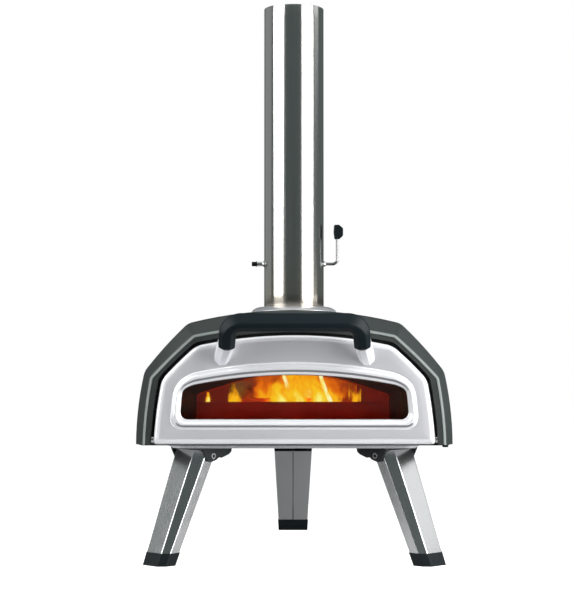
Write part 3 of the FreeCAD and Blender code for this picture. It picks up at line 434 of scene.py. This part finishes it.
def add(tree, kind, *sources, **values):
    """New node; sources fill its first inputs, values set its properties or its named inputs."""
    node = tree.nodes.new(kind)
    for key in [key for key in values if hasattr(node, key)]:
        setattr(node, key, values.pop(key))
    for place, value in enumerate(sources):
        fill(tree, node.inputs[place], value)
    fill_named(tree, node, values)
    return node


def shader(name, **values):
    """New material, its node tree and its surface, whose inputs take the values."""
    material = bpy.data.materials.new(name)
    material.use_nodes = True
    tree = material.node_tree
    body = tree.nodes["Principled BSDF"]
    fill_named(tree, body, values)
    return material, tree, body


def paint(tree, body, colour, roughness):
    fill_named(tree, body, {"Base_Color": colour, "Roughness": roughness})


def here(tree, kind="Object"):
    """Place on the piece, in its own coordinates."""
    return add(tree, "ShaderNodeTexCoord").outputs[kind]


def mapped(tree, vector, **values):
    return add(tree, "ShaderNodeMapping", Vector=vector, **values).outputs["Vector"]


def coordinates(tree, stretch=(1, 1, 1)):
    """Object-space coordinates, stretched."""
    return mapped(tree, here(tree), Scale=stretch)


def axis(tree, vector, letter):
    """One of the three numbers of a vector."""
    return add(tree, "ShaderNodeSeparateXYZ", vector).outputs[letter]


def noise(tree, vector, scale, detail=3.0, roughness=0.5):
    node = add(tree, "ShaderNodeTexNoise", Vector=vector, Scale=scale, Detail=detail,
               Roughness=roughness)
    return node.outputs["Fac"]


def ramp(tree, source, stops):
    """Colour ramp; stops holds (place, colour) pairs."""
    node = add(tree, "ShaderNodeValToRGB", Fac=source)
    elements = node.color_ramp.elements
    while len(elements) < len(stops):
        elements.new(0.5)
    for element, (place, colour) in zip(elements, stops):
        element.position = place
        element.color = (*colour, 1.0)
    return node.outputs["Color"]


def tinted(tree, source, low, high, start=0.3, end=0.7):
    """Colour that a noise value takes from low to high."""
    return ramp(tree, source, [(start, low), (end, high)])


def spread(tree, source, low, high, start=0.25, end=0.75, kind="LINEAR"):
    """A value carried from one range, by default the usual one of noise, to another."""
    node = add(tree, "ShaderNodeMapRange", Value=source, interpolation_type=kind,
               From_Min=start, From_Max=end, To_Min=low, To_Max=high)
    return node.outputs["Result"]


def eased(tree, source, start, end, low=0.0, high=1.0):
    """A value that goes smoothly from low to high."""
    return spread(tree, source, low, high, start, end, "SMOOTHSTEP")


def maths(tree, operation, first, second):
    return add(tree, "ShaderNodeMath", first, second, operation=operation).outputs["Value"]


def mixed(tree, share, first, second):
    """First colour, with a share of the second."""
    node = add(tree, "ShaderNodeMix", share, data_type="RGBA")
    fill(tree, node.inputs[MIX_FIRST], first)
    fill(tree, node.inputs[MIX_SECOND], second)
    return node.outputs[MIX_RESULT]


def mixed_shader(tree, share, first, second):
    return add(tree, "ShaderNodeMixShader", share, first, second).outputs["Shader"]


def camera_sees(tree, others_see, camera_sees_this):
    """One shader for the camera's own rays and another for all the rest."""
    own = add(tree, "ShaderNodeLightPath").outputs["Is Camera Ray"]
    return mixed_shader(tree, own, others_see, camera_sees_this)


def bump(tree, height, body, strength, distance):
    node = add(tree, "ShaderNodeBump", Strength=strength, Distance=distance, Height=height)
    tree.links.new(node.outputs["Normal"], body.inputs["Normal"])


def shade(colour, factor):
    return tuple(channel * factor for channel in colour)


def shades(colour, low, high):
    return shade(colour, low), shade(colour, high)


# ---------------------------------------------------------------- finishes

def brushed_metal(name, colour, grain, roughness):
    """Metal with fine lines; grain stretches the line noise along the brushing."""
    material, tree, body = shader(name, Metallic=1.0)
    lines = noise(tree, coordinates(tree, grain), 1.0, detail=2.0, roughness=0.6)
    cloud = noise(tree, coordinates(tree), 6.0, detail=2.0)
    paint(tree, body, tinted(tree, cloud, *shades(colour, 0.93, 1.05)),
          spread(tree, lines, roughness * 0.85, roughness * 1.2))
    bump(tree, lines, body, strength=0.05, distance=0.0004)
    return material


def turned_metal(name, colour, warm_colour, warm_z, cool_z):
    """Stainless polished round its axis: upright streaks, and warm heat colours at its lower end."""
    material, tree, body = shader(name, Metallic=1.0, Anisotropic=0.9, Anisotropic_Rotation=0.25)
    tangent = add(tree, "ShaderNodeTangent", direction_type="RADIAL", axis="Z")
    tree.links.new(tangent.outputs["Tangent"], body.inputs["Tangent"])
    streaks = noise(tree, coordinates(tree, (260, 260, 2.5)), 1.0, detail=3.0, roughness=0.6)
    heated = eased(tree, axis(tree, here(tree), "Z"), cool_z, warm_z)
    cold = tinted(tree, streaks, *shades(colour, 0.94, 1.03))
    paint(tree, body, mixed(tree, heated, cold, (*warm_colour, 1.0)), spread(tree, streaks, 0.20, 0.235))
    return material


def powder_coat(name, colour, roughness, gloss=0.5, grain_scale=900.0, strength=0.12):
    """Satin powder coating with its fine orange peel."""
    material, tree, body = shader(name, Specular_IOR_Level=gloss)
    vector = coordinates(tree)
    peel = noise(tree, vector, grain_scale, detail=2.0, roughness=0.6)
    cloud = noise(tree, vector, 9.0, detail=3.0)
    paint(tree, body, tinted(tree, cloud, *shades(colour, 0.9, 1.1)),
          spread(tree, peel, roughness * 0.9, roughness * 1.12))
    bump(tree, peel, body, strength, distance=0.0002)
    return material


def recoloured(material, change):
    """Put what change(tree, colour) makes of a material's colour in its place."""
    tree = material.node_tree
    colour = tree.nodes["Principled BSDF"].inputs["Base Color"]
    fill(tree, colour, change(tree, colour.links[0].from_socket))
    return material


def edged_coat(name, colour, roughness, gloss, edge_highlight_colour, edge_y, edge_width):
    """Powder coating with a painted highlight: a lighter colour along the front fold."""
    def painted_edge_highlight(tree, coat):
        highlit_edge = eased(tree, axis(tree, here(tree), "Y"), edge_y + edge_width, edge_y)
        return mixed(tree, highlit_edge, coat, (*edge_highlight_colour, 1.0))

    return recoloured(powder_coat(name, colour, roughness, gloss), painted_edge_highlight)


def stained_inside(name, colour, roughness, gloss, hot, turn_y):
    """Paint on the outer side of a sheet and heat-stained steel on its inner side, whose red-brown is
    partly the fire's glow painted in.
    """
    def stain(tree, coat):
        inside = maths(tree, "LESS_THAN", axis(tree, here(tree), "Y"), turn_y)
        cloud = noise(tree, here(tree), 30.0, detail=4.0, roughness=0.6)
        return mixed(tree, inside, coat, tinted(tree, cloud, shade(hot, 0.8), hot, start=0.35))

    return recoloured(powder_coat(name, colour, roughness, gloss), stain)


def moulded(name, colour, roughness):
    """Matt moulded plastic or rubber with a fine spark texture."""
    return powder_coat(name, colour, roughness, gloss=0.18, grain_scale=1500.0, strength=0.18)


def pressed_metal(name, low, high, metallic, roughness):
    """Fine-grained stainless, soft and even; its lighter copies on the door's rim, surround and
    standoffs are painted highlight, its darker copy on the surround's undersides painted shade.
    """
    material, tree, body = shader(name, Metallic=metallic)
    vector = coordinates(tree)
    grains = noise(tree, vector, 2200.0, detail=2.0, roughness=0.7)
    cloud = noise(tree, vector, 7.0, detail=2.0)
    paint(tree, body, tinted(tree, cloud, low, high),
          spread(tree, grains, roughness * 0.9, roughness * 1.1))
    bump(tree, grains, body, strength=0.06, distance=0.0002)
    return material


def clear_glass(name):
    """Window glass, very lightly smeared by smoke."""
    material, tree, body = shader(name, Transmission_Weight=1.0, IOR=1.45, Specular_IOR_Level=0.2)
    smear = noise(tree, coordinates(tree), 14.0, detail=3.0)
    tint = tinted(tree, smear, (0.93, 0.90, 0.86), (0.98, 0.97, 0.95), start=0.35, end=0.75)
    paint(tree, body, tint, spread(tree, smear, 0.01, 0.05))
    return material


def heat_tint_and_glow_steel(name, cool, hot, metallic=0.6, roughness=0.45):
    """Steel that turns from one colour to another: heat tint, with the fire's red and orange glow
    painted into the colours of the trim and the baffle.
    """
    material, tree, body = shader(name, Metallic=metallic, Specular_IOR_Level=0.1)
    cloud = noise(tree, coordinates(tree), 30.0, detail=4.0, roughness=0.6)
    paint(tree, body, tinted(tree, cloud, cool, hot, start=0.35),
          spread(tree, cloud, roughness * 0.8, roughness * 1.25))
    bump(tree, cloud, body, strength=0.1, distance=0.0006)
    return material


def stone_surface(name):
    """Sandy fired stone."""
    material, tree, body = shader(name)
    vector = coordinates(tree)
    grit = noise(tree, vector, 500.0, detail=5.0, roughness=0.7)
    cloud = noise(tree, vector, 18.0, detail=4.0)
    paint(tree, body, tinted(tree, cloud, (0.42, 0.33, 0.24), (0.62, 0.53, 0.42)),
          spread(tree, grit, 0.75, 0.95))
    bump(tree, grit, body, strength=0.35, distance=0.0006)
    return material


def rope_weave(name, colour):
    """Woven rope of the door seal."""
    material, tree, body = shader(name)
    wave = add(tree, "ShaderNodeTexWave", Vector=coordinates(tree), Scale=420.0, Distortion=3.0)
    weave = wave.outputs["Fac"]
    tint = tinted(tree, weave, *shades(colour, 0.6, 1.3), start=0.2, end=0.8)
    paint(tree, body, tint, spread(tree, weave, 0.8, 0.95))
    bump(tree, weave, body, strength=0.5, distance=0.0006)
    return material


def leg_metal(name, yaw, band_z):
    """Stainless whose brushing runs along the splayed leg, with painted shade above band_z: near black
    where the pan shades its top.
    """
    material, tree, body = shader(name, Metallic=1.0)
    level = mapped(tree, here(tree), Rotation=(0.0, 0.0, -math.radians(yaw)))
    along = mapped(tree, level, Rotation=(0.0, math.radians(LEG_SPLAY), 0.0))
    lines = noise(tree, mapped(tree, along, Scale=(1500, 1500, 12)), 1.0, detail=2.0, roughness=0.6)
    cloud = noise(tree, here(tree), 9.0, detail=2.0)
    bare = tinted(tree, cloud, (0.56, 0.565, 0.57), (0.62, 0.625, 0.63))
    above = maths(tree, "GREATER_THAN", axis(tree, here(tree), "Z"), band_z)
    paint(tree, body, mixed(tree, above, bare, (*LEG_PAINTED_SHADE, 1.0)), spread(tree, lines, 0.18, 0.25))
    bump(tree, lines, body, strength=0.06, distance=0.0004)
    return material


STAINLESS = (0.62, 0.615, 0.60)
DARK_PAINT = (0.012, 0.016, 0.016)
EVEN_GRAIN = (300, 300, 300)
# Width of the painted highlight along the shell's front fold
EDGE_HIGHLIGHT_WIDTH = 0.0012
# Just inside the outer face of the rear panel, where its paint ends
REAR_INSIDE = REAR_FACE - 0.001

# (maker, name, what the maker needs)
FINISHES = [
    # The shell's lighter front fold is a painted highlight
    (edged_coat, "shell_coating", (0.021, 0.027, 0.026), 0.42, 0.42, (0.26, 0.29, 0.28), FRONT,
     EDGE_HIGHLIGHT_WIDTH),
    (powder_coat, "bezel_coating", (0.030, 0.036, 0.034), 0.44),
    (powder_coat, "bracket_paint", DARK_PAINT, 0.46, 0.3),
    (pressed_metal, "door_steel", (0.60, 0.595, 0.625), (0.64, 0.635, 0.665), 0.4, 0.38),
    # Darker copy of the door steel: painted shade on the surround's down-facing undersides
    (pressed_metal, "door_crease", (0.26, 0.26, 0.275), (0.30, 0.30, 0.315), 0.6, 0.32),
    # Lighter copy of the door steel: painted highlight on the rim and the surround
    (pressed_metal, "door_rim", (0.88, 0.88, 0.91), (0.93, 0.93, 0.96), 0.35, 0.26),
    # Lighter copy of the door steel: painted highlight on the handle standoffs
    (pressed_metal, "standoff_steel", (0.88, 0.88, 0.93), (0.93, 0.93, 0.98), 0.2, 0.28),
    (pressed_metal, "pan_steel", (0.80, 0.80, 0.83), (0.86, 0.86, 0.89), 0.5, 0.28),
    (pressed_metal, "flange_steel", (0.50, 0.50, 0.52), (0.56, 0.56, 0.58), 0.6, 0.30),
    (brushed_metal, "stainless", STAINLESS, (14, 14, 1600), 0.20),
    (turned_metal, "pipe_steel", STAINLESS, (0.66, 0.59, 0.49), 0.30, 0.46),
    (heat_tint_and_glow_steel, "liner_steel", (0.001, 0.0003, 0.0002), (0.022, 0.0025, 0.0009), 0.0, 0.7),
    # The trim's and the baffle's red and orange are heat tint with the fire's glow painted over it
    (heat_tint_and_glow_steel, "arch_trim", (0.45, 0.10, 0.03), (0.60, 0.16, 0.05)),
    (heat_tint_and_glow_steel, "baffle_steel", (0.36, 0.05, 0.012), (0.48, 0.08, 0.02)),
    (stained_inside, "rear_panel", DARK_PAINT, 0.46, 0.3, (0.20, 0.045, 0.018), REAR_INSIDE),
    (brushed_metal, "rod_steel", (0.40, 0.40, 0.41), EVEN_GRAIN, 0.24),
    (brushed_metal, "fastener_steel", (0.66, 0.66, 0.66), EVEN_GRAIN, 0.22),
    (powder_coat, "grate_iron", (0.05, 0.045, 0.04), 0.75, 0.5, 500.0, 0.4),
    (clear_glass, "window_glass"),
    (moulded, "grip_black", (0.0035, 0.0080, 0.0110), 0.42),
    (moulded, "foot_rubber", (0.0035, 0.0065, 0.008), 0.5),
    (rope_weave, "seal_rope", (0.010, 0.010, 0.011)),
    (stone_surface, "stone"),
    (powder_coat, "wool", (0.78, 0.76, 0.70), 0.95, 0.5, 250.0, 0.6),
]

# Nodes whose finish isn't the usual one of their slot
OWN_FINISHES = {
    "base_pan": "pan_steel",
    "chimney_flange": "flange_steel",
    "rear_panel": "rear_panel",
    "damper_rod": "rod_steel",
    "fuel_tray": "arch_trim",
    "left_handle_standoff": "standoff_steel",
    "right_handle_standoff": "standoff_steel",
}

# Legs as (direction seen from above in degrees, height above which shade is painted on them)
LEGS = {"front_left": (225.0, 0.1545), "front_right": (315.0, 0.1545), "rear": (90.0, 0.1304)}
LEG_SPLAY = 24.0
# Near-black colour of the painted shade at the top of each leg
LEG_PAINTED_SHADE = (0.01, 0.012, 0.012)


def dress_nodes(materials):
    """Every CAD node gets its own finish or the usual one of its slot."""
    slots = {part["node"]: part["material_slot"] for part in frame["record"]["subparts"]}
    chosen = {node: materials[OWN_FINISHES.get(node, slots[node])] for node in frame["nodes"]}
    for name, (yaw, band_z) in LEGS.items():
        chosen[name + "_leg"] = leg_metal(name + "_leg_steel", yaw, band_z)
    for node, piece in frame["nodes"].items():
        piece.data.materials.clear()
        piece.data.materials.append(chosen[node])


# ---------------------------------------------------------------- light and floor

ROOM_COLOUR = (0.092, 0.113, 0.111)
AIM = (0.0, FLUE_Y, 0.45)
FLOOR_HALF = 6.0
FLOOR_GLOW = 1.0
# The floor's tint goes from full to this share of it between the two distances: painted shade on the far
# floor, seen only in reflections and bounce light
FLOOR_FADE, FADE_FROM, FADE_TO = 0.25, 0.35, 0.75


def around(azimuth, distance, height):
    """A place round the oven; azimuth 0 is in front of it, positive to its right."""
    angle = math.radians(azimuth)
    return (math.sin(angle) * distance, FLUE_Y - math.cos(angle) * distance, height)


def area_light(name, place, target, size, power):
    """Softbox aimed at a target; the camera doesn't see it, as with every lamp."""
    data = bpy.data.lights.new(name, "AREA")
    data.shape = "RECTANGLE"
    data.size, data.size_y = size
    data.energy = power
    lamp = link(name, data)
    lamp.location = place
    lamp.rotation_euler = (Vector(target) - Vector(place)).to_track_quat("-Z", "Y").to_euler()


def make_light():
    """Softboxes by place, target, size in metres and power in watts."""
    area_light("left_softbox", around(-63, 1.7, 1.05), AIM, (1.38, 1.60), 33)
    area_light("right_softbox", around(55, 1.7, 0.62), AIM, (1.40, 2.20), 70)
    area_light("right_rear_softbox", around(98, 1.8, 1.55), AIM, (0.8, 0.9), 2)
    area_light("top_softbox", (0.0, -0.4, 2.6), (0, 0, 0.2), (2.6, 2.0), 17)
    area_light("low_card", (0.56, -0.19, 0.26), (0.14, -0.27, 0.10), (0.22, 0.22), 0.15)
    for azimuth, power in ((-122, 2.4), (122, 0.5)):
        area_light("back_softbox", around(azimuth, 2.0, 0.9), AIM, (1.9, 1.8), power)


def make_surroundings():
    """Dim room that lights the oven, and a white backdrop that only the camera sees."""
    world = bpy.data.worlds.new("studio")
    bpy.context.scene.world = world
    world.use_nodes = True
    tree = world.node_tree
    tree.nodes.clear()
    room = add(tree, "ShaderNodeBackground", Color=(*ROOM_COLOUR, 1), Strength=1.0)
    backdrop = add(tree, "ShaderNodeBackground", Color=(1, 1, 1, 1), Strength=1.0)
    surface = camera_sees(tree, room.outputs["Background"], backdrop.outputs["Background"])
    add(tree, "ShaderNodeOutputWorld", Surface=surface)


def make_floor():
    """Pale floor that the camera sees nearly white, so that no horizon shows behind the oven."""
    mesh = bpy.data.meshes.new("floor")
    corners = [(x * FLOOR_HALF, y * FLOOR_HALF, 0) for x, y in ((-1, -1), (1, -1), (1, 1), (-1, 1))]
    mesh.from_pydata(corners, [], [(0, 1, 2, 3)])
    floor = link("floor", mesh)
    material, tree, body = shader("floor", Roughness=0.9)
    tint = tinted(tree, noise(tree, coordinates(tree), 3.0), (0.49, 0.49, 0.49), (0.53, 0.53, 0.53))
    away = add(tree, "ShaderNodeVectorMath", here(tree), operation="LENGTH").outputs["Value"]
    fade = spread(tree, away, 1.0, FLOOR_FADE, FADE_FROM, FADE_TO)
    faded = add(tree, "ShaderNodeVectorMath", tint, Scale=fade, operation="SCALE").outputs["Vector"]
    tree.links.new(faded, body.inputs["Base Color"])
    pale = add(tree, "ShaderNodeEmission", Strength=FLOOR_GLOW).outputs["Emission"]
    lit = body.outputs["BSDF"]
    both = add(tree, "ShaderNodeAddShader", lit, pale).outputs["Shader"]
    fill(tree, tree.nodes["Material Output"].inputs["Surface"], camera_sees(tree, lit, both))
    mesh.materials.append(material)


# ---------------------------------------------------------------- fire (not part of the oven)

FLAME_GLOW = 1.05
# Colours of the flames by their strength
FLAME_COLOURS = [(0.16, (0.08, 0.003, 0.0)), (0.27, (0.40, 0.04, 0.0)), (0.36, (0.78, 0.15, 0.0)),
                 (0.46, (0.95, 0.38, 0.003)), (0.58, (0.98, 0.60, 0.012)), (0.72, (1.0, 0.92, 0.20))]
TONGUE_COLOURS = [(0.34, (1.0, 0.62, 0.02)), (0.52, (1.0, 0.93, 0.30)), (0.66, (1.0, 1.0, 0.72))]
FLAME_TOP = 0.262
SHEET_COLUMNS, SHEET_ROWS = 24, 8

# Heat across a sheet as (share of its width, strength)
BROAD_HEAT = [(0.10, 0.50), (0.20, 0.74), (0.32, 0.98), (0.50, 1.08), (0.70, 1.08), (0.80, 0.98),
              (0.88, 0.86), (0.97, 0.60)]
TONGUES_HEAT = [(0.03, 0.82), (0.11, 0.78), (0.20, 0.72), (0.30, 0.93), (0.42, 1.06), (0.60, 1.02),
                (0.72, 1.02), (0.84, 0.76), (0.91, 0.76), (0.97, 0.80)]
SMALL_HEAT = [(0.1, 0.2), (0.5, 1.5), (0.9, 0.2)]

# Paths of the bright tongues as (x, z) in metres
WAVY_PATH = [(-0.024, 0.204), (-0.019, 0.210), (-0.012, 0.218), (-0.008, 0.227), (-0.010, 0.236),
             (-0.014, 0.246), (-0.017, 0.258)]
SLANTED_PATH = [(0.062, 0.204), (0.058, 0.212), (0.053, 0.222), (0.049, 0.234), (0.045, 0.246),
                (0.043, 0.258)]
TONGUE_Y = BAFFLE_HIGH.y + 0.014
# A tongue's width at its foot, how much of it is lost by its tip, and how far its middle stands out
TONGUE_FOOT, TONGUE_TAPER, TONGUE_RIDGE = 1.15, 0.5, 0.001

ORANGE = (1.0, 0.30, 0.05)
RED = (1.0, 0.10, 0.012)


def stretched(tree, vector, scale, seed):
    """Coordinates stretched, and moved to a place of their own in the noise."""
    return mapped(tree, vector, Scale=scale, Location=(seed, seed * 0.37, seed * 1.7))


def glow_material(name, draw):
    """Glow that is clear where there is none; draw(tree) gives its colour and where it shows."""
    material = bpy.data.materials.new(name)
    material.use_nodes = True
    tree = material.node_tree
    tree.nodes.clear()
    tint, seen = draw(tree)
    glow = add(tree, "ShaderNodeEmission", Color=tint, Strength=FLAME_GLOW).outputs["Emission"]
    clear = add(tree, "ShaderNodeBsdfTransparent").outputs["BSDF"]
    add(tree, "ShaderNodeOutputMaterial", Surface=mixed_shader(tree, seen, clear, glow))
    return material


def flame_material(name, heat, shows, streak_scale, seed):
    """Rising flame streaks that fade to the sides and up; they begin to show between two strengths."""
    def draw(tree):
        place = here(tree, "Generated")
        wobble = noise(tree, stretched(tree, place, (5.0, 1.0, 1.6), seed), 1.0, detail=2.0)
        bent = add(tree, "ShaderNodeVectorMath", wobble, (0.16, 0.0, 0.05), place,
                   operation="MULTIPLY_ADD").outputs["Vector"]
        tall = stretched(tree, bent, (streak_scale, 1.0, 0.9), seed)
        streaks = noise(tree, tall, 1.0, detail=3.0, roughness=0.55)
        across = add(tree, "ShaderNodeFloatCurve")
        for share, strength in heat:
            across.mapping.curves[0].points.new(share, strength)
        fill(tree, across.inputs["Value"], axis(tree, place, "X"))
        lift = eased(tree, axis(tree, place, "Z"), 1.0, 0.0, 0.62, 1.12)
        warmth = maths(tree, "MULTIPLY", streaks, across.outputs["Value"])
        warmth = maths(tree, "MULTIPLY", warmth, lift)
        return ramp(tree, warmth, FLAME_COLOURS), eased(tree, warmth, *shows)

    return glow_material(name, draw)


def tongue_material(name):
    """White-hot flame with ragged gaps."""
    def draw(tree):
        place = stretched(tree, here(tree), (90.0, 1.0, 55.0), seed=2.0)
        flicker = noise(tree, place, 1.0, detail=3.0, roughness=0.6)
        return ramp(tree, flicker, TONGUE_COLOURS), eased(tree, flicker, 0.20, 0.40)

    return glow_material(name, draw)


def flame_sheet(name, x_span, y, z_span, material, bow=0.0):
    """Upright sheet that carries flames, flat or gently bowed towards the door."""
    loops = []
    for row in range(SHEET_ROWS + 1):
        z = z_span[0] + (z_span[1] - z_span[0]) * row / SHEET_ROWS
        loop = []
        for column in range(SHEET_COLUMNS + 1):
            share = column / SHEET_COLUMNS
            x = x_span[0] + (x_span[1] - x_span[0]) * share
            loop.append(Vector((x, y - bow * math.sin(math.pi * share), z)))
        loops.append(loop)
    sheet = skin(name, loops, closed=False)
    sheet.data.materials.append(material)


def flame_tongue(name, path, y, width, material):
    """Narrow bright ribbon along a path, a little wider at its foot than at its tip."""
    loops = []
    for index, (x, z) in enumerate(path):
        share = index / (len(path) - 1)
        half = width / 2 * (TONGUE_FOOT - TONGUE_TAPER * share)
        middle = Vector((x, y - TONGUE_RIDGE, z))
        loops.append([Vector((x - half, y, z)), middle, Vector((x + half, y, z))])
    ribbon = skin(name, loops, closed=False)
    ribbon.data.materials.append(material)


def make_fire():
    """Two layers of flames behind the baffle, two bright tongues and a small flame beside them."""
    broad = flame_material("flames_behind", BROAD_HEAT, (0.14, 0.34), streak_scale=5.0, seed=3.0)
    flame_sheet("flames_behind", (-0.108, 0.108), BAFFLE_HIGH.y + 0.085, (0.200, FLAME_TOP), broad)
    tongues = flame_material("flames_ahead", TONGUES_HEAT, (0.40, 0.50), streak_scale=9.0, seed=8.0)
    flame_sheet("flames_ahead", (-0.109, 0.109), BAFFLE_HIGH.y + 0.018, (0.204, FLAME_TOP), tongues,
                bow=0.006)
    white_hot = tongue_material("white_hot")
    flame_tongue("wavy_tongue", WAVY_PATH, TONGUE_Y, 0.007, white_hot)
    flame_tongue("slanted_tongue", SLANTED_PATH, TONGUE_Y, 0.008, white_hot)
    small = flame_material("small_flame", SMALL_HEAT, (0.30, 0.42), streak_scale=1.0, seed=1.0)
    flame_sheet("small_flame", (-0.143, -0.129), BAFFLE_HIGH.y + 0.008, (0.207, 0.223), small)


def point_light(name, place, power, colour, radius):
    """Small lamp that lights surfaces but shows in no reflection."""
    data = bpy.data.lights.new(name, "POINT")
    data.energy = power
    data.color = colour
    data.shadow_soft_size = radius
    lamp = link(name, data)
    lamp.location = place
    lamp.visible_glossy = False
    lamp.visible_transmission = False


def make_fire_light():
    middle_y = (BAFFLE_LOW.y + FRONT) / 2
    point_light("fire_glow", (0.0, BAFFLE_HIGH.y + 0.05, 0.235), 1.2, ORANGE, 0.01)
    for side in (-1, 1):
        point_light("chamber_glow", (side * 0.075, middle_y + 0.06, 0.228), 0.26, RED, 0.01)
        point_light("back_glow", (side * 0.132, BAFFLE_HIGH.y + 0.012, 0.206), 0.030, RED, 0.006)


# ---------------------------------------------------------------- fuel (not part of the oven)

# Logs as (start, end, radius) in metres
LOGS = [((-0.088, 0.222, 0.196), (0.070, 0.236, 0.206), 0.017),
        ((-0.060, 0.290, 0.192), (0.088, 0.270, 0.198), 0.016),
        ((-0.075, 0.262, 0.214), (0.052, 0.230, 0.223), 0.012)]
LOG_STEPS = 12
LOG_SIDES = 14


def charred_wood(name):
    """Charred wood with embers in its cracks."""
    material, tree, body = shader(name, Emission_Strength=0.5)
    vector = coordinates(tree)
    cracks = add(tree, "ShaderNodeTexVoronoi", Vector=vector, Scale=120.0).outputs["Distance"]
    cloud = noise(tree, vector, 60.0, detail=5.0, roughness=0.7)
    tint = tinted(tree, cloud, (0.010, 0.005, 0.003), (0.09, 0.030, 0.012), start=0.35)
    paint(tree, body, tint, spread(tree, cloud, 0.75, 0.95))
    ember = tinted(tree, cracks, (1.0, 0.16, 0.01), (0.0, 0.0, 0.0), start=0.05, end=0.30)
    tree.links.new(ember, body.inputs["Emission Color"])
    bump(tree, cloud, body, strength=0.8, distance=0.002)
    return material


def log_loops(start, end, radius, index):
    """Rings along a rough split log; the index varies its three-sided shape."""
    way = (end - start).normalized()
    side = way.cross(Vector((0, 0, 1))).normalized()
    up = side.cross(way)
    loops = []
    for step in range(LOG_STEPS + 1):
        centre = start.lerp(end, step / LOG_STEPS)
        loop = []
        for corner in range(LOG_SIDES):
            angle = 2 * math.pi * corner / LOG_SIDES
            lump = 1 + 0.16 * math.sin(3 * angle + index) + 0.07 * math.sin(step * 1.9 + corner * 2.3)
            loop.append(centre + (side * math.cos(angle) + up * math.sin(angle)) * radius * lump)
        loops.append(loop)
    return loops


def make_fuel():
    """Three split logs across the tray."""
    material = charred_wood("charred_wood")
    for index, (start, end, radius) in enumerate(LOGS):
        loops = log_loops(Vector(start), Vector(end), radius, index)
        log = skin("log_%d" % (index + 1), loops, capped=True)
        log.data.materials.append(material)
        log.data.shade_smooth()


# ---------------------------------------------------------------- build

make_camera()
bpy.context.scene.view_settings.view_transform = "Standard"
materials = {name: make(name, *values) for make, name, *values in FINISHES}
dress_nodes(materials)
door_skin(materials["door_steel"], materials["door_rim"], materials["door_crease"])
handle_grip(materials["grip_black"])
chimney_tube(materials["pipe_steel"])
arch_trim(materials["arch_trim"])
make_light()
make_surroundings()
make_floor()
make_fire()
make_fire_light()
make_fuel()
